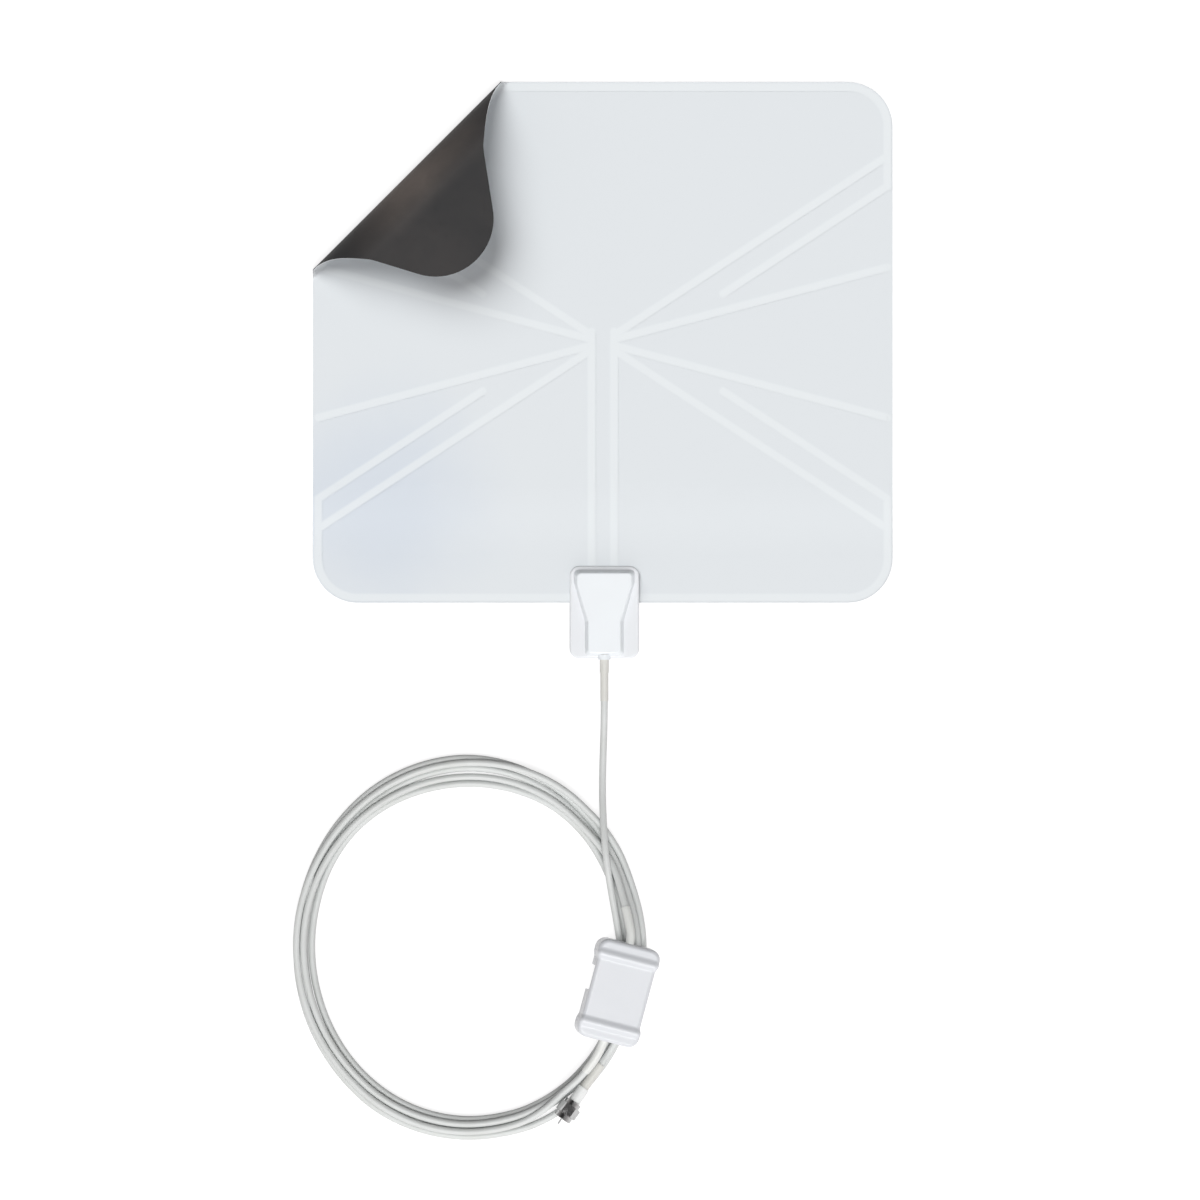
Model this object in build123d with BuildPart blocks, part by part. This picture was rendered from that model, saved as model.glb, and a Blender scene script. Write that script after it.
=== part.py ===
from build123d import *

import os
from math import cos, pi, radians, sin, sqrt, tan

# Flat indoor television antenna, lying face up as it comes to rest: a laminated film panel with its
# top left corner rolled over, a feed housing, a coiled coaxial cable, an in-line amplifier and a
# screw-on connector. Millimetres, +Z up, origin on the floor under the middle of the panel.

os.makedirs("parts", exist_ok=True)

# Panel
panel_width = 330.0
panel_height = 296.5
panel_corner = 25.5
back_film_thickness = 0.4
front_film_thickness = 0.4
foil_thickness = 0.12

# Rolled corner: a tight bend at the fold, then a wide roll that ends in a level flap
fold_leg = 107.0
fold_radius = 4.0
roll_radius = 18.0
flap_half_angle = 32.2
flap_lean = 0.17
flap_shoulder_run = 2.5
flap_shoulder_round = 24.0
flap_tip_shift = 10.5
flap_tip_round = 32.9
roll_step = 15

# Radiating foil
trace_width = 4.3
edge_margin = 0.8
feed_spacing = 12.8
outer_arm_angle = 33.2
inner_arm_angle = 14.8
hook_spacing = 14.3
hook_start = 68.5
hub_overrun = 2.0
ridge_margin = 0.3

# Feed housing
housing_offset = 0.9
housing_width = 39.5
housing_overlap = 21.0
housing_overhang = 31.7
housing_corner = 5.5
rear_cover_thickness = 1.6
bend_run = 40.0
bend_gap = 6.0
flange_thickness = 2.0
flange_round = 1.2
face_height = 7.0
face_taper = 20.0
face_round = 1.0
face_corner = 2.5
face_top_inset = 1.5
face_bottom_inset = 0.6
face_half_width = 18.1
face_shoulder = 8.5
neck_start = 31.5
neck_half_width = 11.8
housing_wall = 1.6
pin_diameter = 2.4
pin_columns = 34.0
pin_rows = 24.0
pin_depth = 1.2
fit_gap = 0.05
hole_gap = 0.15

# Matching circuit
board_thickness = 1.0
board_inset = 0.8
board_length = 30.0
eyelet_diameter = 2.2
eyelet_bore = 1.4
eyelet_head = 4.2
eyelet_head_thickness = 0.45
eyelet_row = 11.0
core_width = 8.4
core_length = 6.0
core_height = 3.6
core_hole = 1.7
core_row = 22.0
winding_wire = 0.6
winding_reach = 2.2

# Cable
cable_diameter = 3.9
cable_level = 4.7
sleeve_diameter = 5.1
lead_sleeve_length = 7.4
lead_tail_diameter = 4.5
lead_tail_length = 16.2
sleeve_flange = 6.2
sleeve_flange_thickness = 1.4
sleeve_inside = 4.0
collar_diameter = 6.9
collar_length = 0.7
bore_gap = 0.05
arc_share = 0.45

# Coil of the free cable
coil_outer_half_width = 100.4
coil_outer_half_length = 110.1
coil_outer_centre = (-75.9, -344.3)
coil_inner_half_width = 86.0
coil_inner_half_length = 93.7
coil_inner_centre = (-77.6, -347.0)
coil_height = 7.6
coil_bevel = 1.8
coil_gap = 0.4

# In-line amplifier
amp_centre = (7.0, -368.8)
amp_turn = 15.0
amp_roll = 10.0
amp_rest = 9.4
amp_length = 57.0
amp_width = 36.3
amp_waist = 1.0
amp_waist_run = 3.0
amp_waist_round = 3.0
amp_corner = 6.0
amp_half_height = 8.0
amp_face_height = 6.2
amp_crest = 8.8
amp_crest_run = 3.1
amp_crest_round = 3.0
amp_foot_round = 3.0
amp_rim_round = 2.2
amp_edge_bevel = 1.2
amp_wall = 1.8
amp_parting = 0.35
notch_centre = 4.6
notch_length = 14.6
notch_depth = 2.4
notch_drop = 4.6
notch_rise = 3.6
amp_board_level = -2.6
amp_board_thickness = 1.2
amp_board_gap = 0.6
post_diameter = 4.0
post_inset = 7.0
shield_length = 24.0
shield_width = 15.0
shield_height = 4.0
shield_wall = 0.3
shield_shift = 5.0
socket_width = 7.6
socket_height = 2.9
socket_depth = 5.6
socket_wall = 0.35
tongue_width = 3.8
tongue_height = 0.7
tongue_length = 4.2
cable_inside = 8.0
sleeve_grip = 2.0
input_straight = 4.8
output_straight = 4.8

# Screw-on connector
connector_start = (-1.2, -410.8, 6.8)
connector_turn = 36.0
connector_pitch = 6.0
connector_sleeve_diameter = 5.4
connector_sleeve_length = 16.4
boot_diameter = 6.8
boot_length = 9.5
barrel_diameter = 6.0
barrel_overlap = 6.0
post_flange_diameter = 8.4
post_flange_thickness = 1.3
dielectric_diameter = 3.0
pin_wire = 0.9
pin_reach = 3.8
nut_gap = 0.3
nut_ring_diameter = 9.6
nut_ring_length = 2.4
nut_flats = 11.0
nut_hex_length = 6.4
nut_collar_diameter = 10.4
nut_collar_length = 2.7
nut_bore = 8.8
nut_shoulder = 1.4
nut_chamfer = 0.5
shoulder_gap = 0.1
connector_clearance = 0.4
connector_tail = 7.0

# Levels and edges that follow from the sizes above
laminate = back_film_thickness + front_film_thickness
cover_level = rear_cover_thickness + laminate + foil_thickness
panel_top = panel_height / 2
panel_bottom = -panel_height / 2
housing_height = housing_overlap + housing_overhang
housing_middle = panel_bottom + housing_overlap - housing_height / 2
housing_top = panel_bottom + housing_overlap
housing_bottom = panel_bottom - housing_overhang
housing_floor = Plane((housing_offset, housing_middle, 0))
housing_seat = housing_floor.offset(cover_level)
bend_end = housing_top + bend_gap
bend_start = bend_end + bend_run
pin_row = housing_middle + pin_rows / 2
eyelet_line = housing_top - eyelet_row
flange_seat = face_bottom_inset + housing_wall
sleeve_bore = cable_diameter + 2 * bore_gap
tower = 4 * panel_height

# The fold line crosses the top left corner at 45 degrees
fold_axis = Vector(1, 1, 0).normalized()
fold_inward = Vector(1, -1, 0).normalized()
fold_middle = Vector(-panel_width / 2 + fold_leg / 2, panel_top - fold_leg / 2, 0)
fold_half = fold_leg / sqrt(2)
flap_level = fold_radius + roll_radius


def film_section(low, high):
    """Side view of a film layer: flat on the floor, then an S bend up to the rear cover's level."""
    with BuildSketch(Plane.YZ) as section:
        with BuildLine():
            for level in (low, high):
                flat = Line((panel_top, level), (bend_start, level))
                halfway = (bend_start - bend_run / 2, level + rear_cover_thickness / 2)
                rise = TangentArc(flat @ 1, halfway, tangent=flat % 1)
                settled = (bend_end, level + rear_cover_thickness)
                settle = TangentArc(rise @ 1, settled, tangent=rise % 1)
                Line(settle @ 1, (panel_bottom, level + rear_cover_thickness))
            Line((panel_top, low), (panel_top, high))
            Line(
                (panel_bottom, low + rear_cover_thickness),
                (panel_bottom, high + rear_cover_thickness),
            )
        make_face()
    return section.sketch


def flat_outline():
    """Plan of the panel without its rolled corner and with the holes that the housing needs."""
    cut_leg = fold_leg + fold_radius * sqrt(2)
    with BuildSketch() as outline:
        RectangleRounded(panel_width, panel_height, panel_corner)
        with BuildLine():
            Polyline(
                (-panel_width / 2, panel_top),
                (-panel_width / 2 + cut_leg, panel_top),
                (-panel_width / 2, panel_top - cut_leg),
                close=True,
            )
        make_face(mode=Mode.SUBTRACT)
        with Locations((housing_offset, pin_row)):
            with GridLocations(pin_columns, 0, 2, 1):
                Circle(pin_diameter / 2 + hole_gap, mode=Mode.SUBTRACT)
        with Locations((0, eyelet_line)):
            with GridLocations(feed_spacing, 0, 2, 1):
                Circle(eyelet_diameter / 2 + fit_gap, mode=Mode.SUBTRACT)
    return outline.sketch


def foil_pattern(width):
    """Plan of the foil with lines of the given width: border loops, arms, hooks and feed lines."""
    spread = (width - trace_width) / 2
    border_inset = edge_margin - spread
    side_line = panel_width / 2 - edge_margin - trace_width / 2
    slope = tan(radians(outer_arm_angle))
    hook_drop = hook_spacing / cos(radians(outer_arm_angle))
    hook_end = side_line * slope - hook_drop
    feed_line = feed_spacing / 2
    hub = feed_line * slope + hub_overrun
    with BuildSketch() as pattern:
        RectangleRounded(
            panel_width - 2 * border_inset,
            panel_height - 2 * border_inset,
            panel_corner - border_inset,
        )
        RectangleRounded(
            panel_width - 2 * (border_inset + width),
            panel_height - 2 * (border_inset + width),
            panel_corner - border_inset - width,
            mode=Mode.SUBTRACT,
        )
        Rectangle(panel_width, 2 * (hook_end - width / 2), mode=Mode.SUBTRACT)
        with BuildLine():
            Line((feed_line, feed_line * slope), (side_line, side_line * slope))
            Line((hook_start, hook_start * slope - hook_drop), (side_line, hook_end))
            inner_slope = tan(radians(inner_arm_angle))
            Line((feed_line, feed_line * inner_slope), (side_line, side_line * inner_slope))
        trace(line_width=width)
        mirror(about=Plane.XZ)
        with BuildLine():
            Line((feed_line, hub), (feed_line, eyelet_line - trace_width))
        trace(line_width=width)
        mirror(about=Plane.YZ)
    return pattern.sketch


def roll_section(angle, low, high):
    """Section of a film layer across the roll: 0 is flat, 90 upright at the fold, 180 the flap."""
    turn = radians(angle)
    if angle <= 90:
        inward = fold_radius * (1 - sin(turn))
        height = fold_radius * (1 - cos(turn))
        half_length = fold_half + inward
        shift = 0
    else:
        rolled = turn - pi / 2
        inward = roll_radius * (1 - cos(rolled))
        height = fold_radius + roll_radius * sin(rolled)
        half_length = fold_half - roll_radius * rolled
        shift = -flap_lean * inward
    forward = fold_inward * -cos(turn) + Vector(0, 0, sin(turn))
    place = Plane(
        fold_middle + fold_inward * inward + fold_axis * shift + Vector(0, 0, height),
        x_dir=fold_axis * -1,
        z_dir=forward,
    )
    with BuildSketch(place) as section:
        with Locations((0, (low + high) / 2)):
            Rectangle(2 * half_length, high - low)
    return section.sketch


def flap_outline(level):
    """Plan of the level flap beyond the roll, with the panel's rounded corner at its tip."""
    half_length = fold_half - roll_radius * pi / 2
    shoulder = roll_radius + flap_shoulder_run
    half_shoulder = half_length - flap_shoulder_run
    reach = shoulder + half_shoulder / tan(radians(flap_half_angle))
    place = Plane(fold_middle + Vector(0, 0, level), x_dir=fold_inward, z_dir=(0, 0, 1))
    with BuildSketch(place) as outline:
        with BuildLine():
            Polyline(
                (roll_radius, -half_length - flap_lean * roll_radius),
                (shoulder, -half_shoulder - flap_lean * shoulder),
                (reach, -flap_tip_shift),
                (shoulder, half_shoulder - flap_lean * shoulder),
                (roll_radius, half_length - flap_lean * roll_radius),
                close=True,
            )
        make_face()
        fillet(outline.vertices().sort_by(Axis.X)[2:4], flap_shoulder_round)
        fillet(outline.vertices().sort_by(Axis.X)[-1], flap_tip_round)
    return outline.sketch


def add_film(low, high):
    """Adds a whole film layer to the part in hand: flat panel, fold, roll and flap."""
    extrude(film_section(low, high), panel_width, both=True)
    extrude(flat_outline(), tower, both=True, mode=Mode.INTERSECT)
    loft([roll_section(angle, low, high) for angle in range(0, 91, roll_step)])
    loft([roll_section(angle, low, high) for angle in range(90, 181, roll_step)])
    extrude(flap_outline(flap_level - high), high - low, dir=(0, 0, 1))


# Back film
with BuildPart() as back_film:
    add_film(0, back_film_thickness)
back_film.part.label = "back_film"
export_step(back_film.part, "parts/back_film.step")

# Radiating foil, on the back film
with BuildPart() as radiating_foil:
    extrude(
        film_section(back_film_thickness, back_film_thickness + foil_thickness),
        panel_width,
        both=True,
    )
    extrude(foil_pattern(trace_width), tower, both=True, mode=Mode.INTERSECT)
    extrude(flat_outline(), tower, both=True, mode=Mode.INTERSECT)
radiating_foil.part.label = "radiating_foil"
export_step(radiating_foil.part, "parts/radiating_foil.step")

# Ridges that the foil raises in the front film
with BuildPart() as ridges:
    extrude(film_section(laminate, laminate + foil_thickness), panel_width, both=True)
    extrude(foil_pattern(trace_width + 2 * ridge_margin), tower, both=True, mode=Mode.INTERSECT)
    extrude(flat_outline(), tower, both=True, mode=Mode.INTERSECT)

# Front film, over the foil
with BuildPart() as front_film:
    add_film(back_film_thickness, laminate)
    add(ridges.part)
    add(radiating_foil.part, mode=Mode.SUBTRACT)
front_film.part.label = "front_film"
export_step(front_film.part, "parts/front_film.step")


def housing_outline(plane):
    """Plan of the feed housing."""
    with BuildSketch(plane) as outline:
        RectangleRounded(housing_width, housing_height, housing_corner)
    return outline.sketch


def funnel(plane, inset):
    """Plan of the raised face: wide over the panel, narrowing to a neck round the cable."""
    top = housing_height / 2 - face_top_inset - inset
    shoulder = housing_height / 2 - face_shoulder - inset
    neck = housing_height / 2 - neck_start
    bottom = -housing_height / 2 + face_bottom_inset + inset
    half_width = face_half_width - inset
    half_neck = neck_half_width - inset
    with BuildSketch(plane) as outline:
        with BuildLine():
            Polyline(
                (half_width, top),
                (half_width, shoulder),
                (half_neck, neck),
                (half_neck, bottom),
                (-half_neck, bottom),
                (-half_neck, neck),
                (-half_width, shoulder),
                (-half_width, top),
                close=True,
            )
        make_face()
        fillet(outline.vertices(), face_corner)
    return outline.sketch


def add_funnel(inset, height, mode):
    """Adds the raised face, or cuts its hollow, with sides that lean in towards the top."""
    lean = height * tan(radians(face_taper))
    loft(
        [funnel(housing_seat, inset), funnel(housing_seat.offset(height), inset + lean)],
        ruled=True,
        mode=mode,
    )


cable_exit = Plane(
    (housing_offset, housing_bottom, cable_level),
    x_dir=(1, 0, 0),
    z_dir=(0, -1, 0),
)

# Front cover of the feed housing
with BuildPart() as front_cover:
    extrude(housing_outline(housing_seat), flange_thickness)
    fillet(front_cover.faces().sort_by(Axis.Z)[-1].edges(), flange_round)
    add_funnel(0, face_height, Mode.ADD)
    fillet(front_cover.faces().sort_by(Axis.Z)[-1].edges(), face_round)
    with BuildSketch(cable_exit.offset(-face_bottom_inset - housing_wall)):
        Circle(collar_diameter / 2)
    extrude(amount=face_bottom_inset + housing_wall + collar_length)
    split(bisect_by=housing_seat, keep=Keep.TOP)
    add_funnel(housing_wall, face_height - housing_wall, Mode.SUBTRACT)
    with BuildSketch(cable_exit.offset(collar_length)):
        Circle(sleeve_diameter / 2 + bore_gap)
    extrude(amount=-collar_length - face_bottom_inset - 2 * housing_wall, mode=Mode.SUBTRACT)
    with BuildSketch(cable_exit.offset(-flange_seat)):
        Circle(sleeve_flange / 2 + bore_gap)
    extrude(amount=-sleeve_flange_thickness - housing_wall, mode=Mode.SUBTRACT)
    with BuildSketch(housing_seat):
        with GridLocations(pin_columns, pin_rows, 2, 2):
            Circle(pin_diameter / 2 + fit_gap)
    extrude(amount=pin_depth + fit_gap, mode=Mode.SUBTRACT)
front_cover.part.label = "front_cover"
export_step(front_cover.part, "parts/front_cover.step")

# Rear cover: plate behind the film, with a step below the panel's edge and pins into the front cover
with BuildPart() as rear_cover:
    extrude(housing_outline(housing_floor), cover_level)
    with BuildSketch(housing_floor.offset(rear_cover_thickness)):
        with Locations((0, housing_height / 2)):
            Rectangle(
                housing_width,
                housing_overlap + hole_gap,
                align=(Align.CENTER, Align.MAX),
            )
    extrude(amount=cover_level, mode=Mode.SUBTRACT)
    chamfer(rear_cover.faces().sort_by(Axis.Z)[0].edges(), rear_cover_thickness / 4)
    with BuildSketch(housing_floor.offset(rear_cover_thickness)):
        with GridLocations(pin_columns, pin_rows, 2, 2):
            Circle(pin_diameter / 2)
    extrude(amount=cover_level - rear_cover_thickness + pin_depth)
    with BuildSketch(Plane((0, eyelet_line, rear_cover_thickness))):
        with GridLocations(feed_spacing, 0, 2, 1):
            Circle(eyelet_head / 2 + hole_gap)
    extrude(amount=-eyelet_head_thickness - fit_gap, mode=Mode.SUBTRACT)
    with BuildSketch(cable_exit):
        Circle(sleeve_flange / 2 + bore_gap)
    extrude(amount=-flange_seat - sleeve_flange_thickness - housing_wall, mode=Mode.SUBTRACT)
rear_cover.part.label = "rear_cover"
export_step(rear_cover.part, "parts/rear_cover.step")

# Matching board, clamped on the front film by the eyelets
with BuildPart() as matching_board:
    extrude(funnel(housing_seat, housing_wall + board_inset), board_thickness, dir=(0, 0, 1))
    with BuildSketch(housing_seat):
        with Locations((0, housing_height / 2)):
            Rectangle(housing_width, board_length, align=(Align.CENTER, Align.MAX))
    extrude(amount=board_thickness, mode=Mode.INTERSECT)
    with BuildSketch(Plane((0, eyelet_line, cover_level))):
        with GridLocations(feed_spacing, 0, 2, 1):
            Circle(eyelet_diameter / 2 + fit_gap)
    extrude(amount=board_thickness, mode=Mode.SUBTRACT)
matching_board.part.label = "matching_board"
export_step(matching_board.part, "parts/matching_board.step")

# Eyelets that join the two feed lines to the board
with BuildPart() as contact_eyelets:
    for side in (-1, 1):
        foot = (side * feed_spacing / 2, eyelet_line, 0)
        under = rear_cover_thickness - eyelet_head_thickness
        over = cover_level + board_thickness
        with BuildSketch(Plane(foot, x_dir=(1, 0, 0), z_dir=(0, -1, 0))):
            with BuildLine():
                Polyline(
                    (eyelet_bore / 2, under),
                    (eyelet_head / 2, under),
                    (eyelet_head / 2, rear_cover_thickness),
                    (eyelet_diameter / 2, rear_cover_thickness),
                    (eyelet_diameter / 2, over),
                    (eyelet_head / 2, over),
                    (eyelet_head / 2, over + eyelet_head_thickness),
                    (eyelet_bore / 2, over + eyelet_head_thickness),
                    close=True,
                )
            make_face()
        revolve(axis=Axis(foot, (0, 0, 1)))
contact_eyelets.part.label = "contact_eyelets"
export_step(contact_eyelets.part, "parts/contact_eyelets.step")

core_line = housing_top - core_row
core_base = cover_level + board_thickness
core_front = Plane(
    (housing_offset, core_line, core_base + core_height / 2),
    x_dir=(1, 0, 0),
    z_dir=(0, -1, 0),
)

# Two-hole ferrite core of the matching transformer
with BuildPart() as balun_core:
    with BuildSketch(core_front):
        SlotOverall(core_width, core_height)
        with GridLocations(core_width - core_height, 0, 2, 1):
            Circle(core_hole / 2, mode=Mode.SUBTRACT)
    extrude(amount=core_length / 2, both=True)
balun_core.part.label = "balun_core"
export_step(balun_core.part, "parts/balun_core.step")

# One turn of wire through both holes of the core, its ends bent down to the board
with BuildPart() as balun_winding:
    reach = core_length / 2 + winding_reach
    hole = (core_width - core_height) / 2
    drop = core_height / 2 - winding_wire / 2
    with BuildLine() as loop:
        Polyline(
            core_front.from_local_coords((-hole, -drop, reach)),
            core_front.from_local_coords((-hole, 0, reach)),
            core_front.from_local_coords((-hole, 0, -reach)),
            core_front.from_local_coords((hole, 0, -reach)),
            core_front.from_local_coords((hole, 0, reach)),
            core_front.from_local_coords((hole, -drop, reach)),
        )
    with BuildSketch(Plane(loop.line @ 0, z_dir=loop.line % 0)):
        Circle(winding_wire / 2)
    sweep(transition=Transition.RIGHT)
balun_winding.part.label = "balun_winding"
export_step(balun_winding.part, "parts/balun_winding.step")


def ring_profile(plane, steps):
    """Half section of a turned piece: (start, end, inner radius, outer radius) for each step."""
    with BuildSketch(plane) as profile:
        for start, end, inner, outer in steps:
            with Locations(((inner + outer) / 2, (start + end) / 2)):
                Rectangle(outer - inner, end - start)
    return profile.sketch


# Strain relief of the lead: a stepped sleeve with a flange inside the neck
exit_section = Plane((housing_offset, housing_bottom, cable_level), x_dir=(1, 0, 0), z_dir=(0, 0, 1))
with BuildPart() as lead_sleeve:
    sleeve_end = -collar_length - lead_sleeve_length
    profile = ring_profile(
        exit_section,
        [
            (sleeve_end - lead_tail_length, sleeve_end, sleeve_bore / 2, lead_tail_diameter / 2),
            (sleeve_end, flange_seat, sleeve_bore / 2, sleeve_diameter / 2),
            (flange_seat, flange_seat + sleeve_flange_thickness, sleeve_bore / 2, sleeve_flange / 2),
        ],
    )
    revolve(profile, axis=Axis((housing_offset, housing_bottom, cable_level), (0, 1, 0)))
lead_sleeve.part.label = "lead_sleeve"
export_step(lead_sleeve.part, "parts/lead_sleeve.step")


def corner_radii(route):
    """Radius at each inner point of a cable route, as large as its two runs allow."""
    radii = []
    for before, corner, after in zip(route, route[1:], route[2:]):
        run_in = Vector(corner) - Vector(before)
        run_out = Vector(after) - Vector(corner)
        half_turn = radians(run_in.get_angle(run_out)) / 2
        radii.append(arc_share * min(run_in.length, run_out.length) / tan(half_turn))
    return radii


def cable_face(route, outer, inner=0):
    """Section of a cable or sleeve across the start of its route."""
    start = Vector(route[0])
    with BuildSketch(Plane(start, z_dir=Vector(route[1]) - start)) as section:
        Circle(outer / 2)
        if inner:
            Circle(inner / 2, mode=Mode.SUBTRACT)
    return section.sketch


def add_cable(name, route):
    """Adds a cable along its route to the part in hand, and prints its bends and its volume."""
    radii = corner_radii(route)
    with BuildLine() as path:
        FilletPolyline(*route, radius=radii)
    tube = sweep(cable_face(route, cable_diameter), path=path.wire())
    share = tube.volume / (pi * cable_diameter**2 / 4 * path.wire().length)
    print(name, "radii", [round(radius) for radius in radii], "volume share", round(share, 4))


# Lead from the housing to the coil
lead_route = [
    (housing_offset, housing_bottom + flange_seat + sleeve_inside, cable_level),
    (housing_offset, -213.0, cable_level),
    (0.3, -235.0, 2.4),
    (-0.2, -250.0, 2.2),
    (-0.1, -264.0, 3.4),
    (0.6, -278.0, 5.2),
]
with BuildPart() as lead_cable:
    add_cable("lead_cable", lead_route)
lead_cable.part.label = "lead_cable"
export_step(lead_cable.part, "parts/lead_cable.step")

# The amplifier lies on the coil, turned with the cable and rolled a little to the right
amp_along = Vector(sin(radians(amp_turn)), cos(radians(amp_turn)), 0)
amp_level_across = Vector(cos(radians(amp_turn)), -sin(radians(amp_turn)), 0)
amp_across = amp_level_across * cos(radians(amp_roll)) - Vector(0, 0, sin(radians(amp_roll)))
amp_up = amp_level_across * sin(radians(amp_roll)) + Vector(0, 0, cos(radians(amp_roll)))
amp_origin = Vector(*amp_centre, amp_rest) + amp_up * amp_half_height
amp_plane = Plane(amp_origin, x_dir=amp_across, z_dir=amp_up)
amp_side = Plane(amp_origin, x_dir=amp_along, z_dir=amp_across)
amp_end = Plane(amp_origin, x_dir=amp_across, z_dir=amp_along * -1)
amp_vertical = Axis(amp_origin, amp_up)


def amp_outline(plane, inset):
    """Plan of the amplifier: two wider end bands that flow into a narrower middle."""
    edge = amp_width / 2 - inset
    waist = edge - amp_waist
    band = amp_length / 2 - amp_crest - amp_crest_run / 2
    outer = band + amp_waist_run / 2
    inner = band - amp_waist_run / 2
    with BuildSketch(plane) as outline:
        RectangleRounded(amp_width - 2 * inset, amp_length - 2 * inset, amp_corner - inset)
        for side in (-1, 1):
            with BuildLine():
                Polyline(
                    (side * edge, outer),
                    (side * waist, inner),
                    (side * waist, -inner),
                    (side * edge, -outer),
                    close=True,
                )
            make_face(mode=Mode.SUBTRACT)
        steps = outline.vertices().filter_by(lambda v: abs(v.Y) < amp_length / 2 - amp_corner)
        fillet(steps, amp_waist_round)
    return outline.sketch


def amp_side_profile():
    """Side view of the upper shell: level, with a rounded crest across it near each end."""
    end = amp_length / 2
    crest = end - amp_crest
    feet = (crest - amp_crest_run, crest + amp_crest_run)
    with BuildSketch(amp_side) as profile:
        with BuildLine():
            Polyline(
                (0, 0),
                (end, 0),
                (end, amp_face_height),
                (feet[1], amp_face_height),
                (crest, amp_half_height),
                (feet[0], amp_face_height),
                (0, amp_face_height),
            )
            mirror(about=Plane.YZ)
        make_face()
        fillet(profile.vertices().filter_by(lambda v: abs(abs(v.X) - crest) < fit_gap), amp_crest_round)
        for foot in feet:
            fillet(profile.vertices().filter_by(lambda v: abs(abs(v.X) - foot) < fit_gap), amp_foot_round)
    return profile.sketch


def cable_ports():
    """Bores for the strain reliefs through both ends of the amplifier."""
    with BuildSketch(amp_end) as port:
        Circle(sleeve_diameter / 2 + bore_gap)
    return port.sketch


def socket_window(gap):
    """Opening of the power socket, seen from the amplifier's left side."""
    with BuildSketch(amp_side) as window:
        with Locations((notch_centre, amp_board_level + socket_height / 2)):
            RectangleRounded(socket_width + 2 * gap, socket_height + 2 * gap, socket_height / 3)
    return window.sketch


def side_notch(low, high):
    """Recess in the left side round the power socket."""
    with BuildSketch(amp_plane.offset(low)) as notch:
        with Locations((-amp_width / 2, notch_centre)):
            Rectangle(2 * (amp_waist + notch_depth), notch_length)
    return extrude(notch.sketch, high - low, mode=Mode.PRIVATE)


# Upper shell of the amplifier
with BuildPart() as amp_upper_shell:
    extrude(amp_side_profile(), amp_width, both=True)
    extrude(amp_outline(amp_plane, 0), amp_width, both=True, mode=Mode.INTERSECT)
    rise = [face.normal_at().dot(amp_up) for face in amp_upper_shell.faces()]
    tops = [face for face, up in zip(amp_upper_shell.faces(), rise) if up > 0.5]
    walls = [face for face, up in zip(amp_upper_shell.faces(), rise) if abs(up) < 0.1]
    wall_edges = [edge for face in walls for edge in face.edges()]
    fillet(
        [edge for face in tops for edge in face.edges() if any(edge.is_same(wall) for wall in wall_edges)],
        amp_rim_round,
    )
    chamfer(amp_upper_shell.faces().sort_by(amp_vertical)[0].edges(), amp_parting)
    with BuildSketch(amp_plane):
        RectangleRounded(
            amp_width - 2 * (amp_waist + notch_depth + amp_wall),
            amp_length - 2 * amp_wall,
            amp_corner - amp_wall,
        )
    extrude(amount=amp_face_height - amp_wall, mode=Mode.SUBTRACT)
    add(side_notch(-notch_drop, notch_rise), mode=Mode.SUBTRACT)
    extrude(cable_ports(), amp_length, both=True, mode=Mode.SUBTRACT)
    extrude(socket_window(hole_gap), -amp_width, mode=Mode.SUBTRACT)
amp_upper_shell.part.label = "amp_upper_shell"
export_step(amp_upper_shell.part, "parts/amp_upper_shell.step")

# Lower shell of the amplifier, with posts for the board
with BuildPart() as amp_lower_shell:
    extrude(amp_outline(amp_plane, 0), -amp_half_height)
    chamfer(amp_lower_shell.faces().sort_by(amp_vertical)[0].edges(), amp_edge_bevel)
    with BuildSketch(amp_plane):
        RectangleRounded(
            amp_width - 2 * (amp_waist + notch_depth + amp_wall),
            amp_length - 2 * amp_wall,
            amp_corner - amp_wall,
        )
    extrude(amount=-amp_half_height + amp_wall, mode=Mode.SUBTRACT)
    with BuildSketch(amp_plane.offset(-amp_half_height + amp_wall)):
        with GridLocations(
            amp_width - 2 * (amp_waist + notch_depth + amp_wall + post_inset / 2),
            amp_length - 2 * (amp_wall + post_inset),
            2,
            2,
        ):
            Circle(post_diameter / 2)
    extrude(amount=amp_half_height - amp_wall + amp_board_level - amp_board_thickness)
    add(side_notch(-notch_drop, notch_rise), mode=Mode.SUBTRACT)
    extrude(cable_ports(), amp_length, both=True, mode=Mode.SUBTRACT)
    extrude(socket_window(hole_gap), -amp_width, mode=Mode.SUBTRACT)
amp_lower_shell.part.label = "amp_lower_shell"
export_step(amp_lower_shell.part, "parts/amp_lower_shell.step")

amp_board_width = amp_width - 2 * (amp_waist + notch_depth + amp_wall + amp_board_gap)
amp_board_length = amp_length - 2 * (amp_wall + amp_board_gap)

# Amplifier board
with BuildPart() as amp_board:
    with BuildSketch(amp_plane.offset(amp_board_level - amp_board_thickness)):
        RectangleRounded(amp_board_width, amp_board_length, amp_corner - amp_wall - amp_board_gap)
    extrude(amount=amp_board_thickness)
amp_board.part.label = "amp_board"
export_step(amp_board.part, "parts/amp_board.step")

# Shield can over the amplifier's circuit
with BuildPart() as amp_shield:
    with BuildSketch(amp_plane.offset(amp_board_level)):
        with Locations((shield_shift, 0)):
            Rectangle(shield_width, shield_length)
    extrude(amount=shield_height)
    fillet(amp_shield.edges().filter_by(amp_vertical), shield_wall * 2)
    offset(amount=-shield_wall, openings=amp_shield.faces().sort_by(amp_vertical)[0])
amp_shield.part.label = "amp_shield"
export_step(amp_shield.part, "parts/amp_shield.step")

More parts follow.
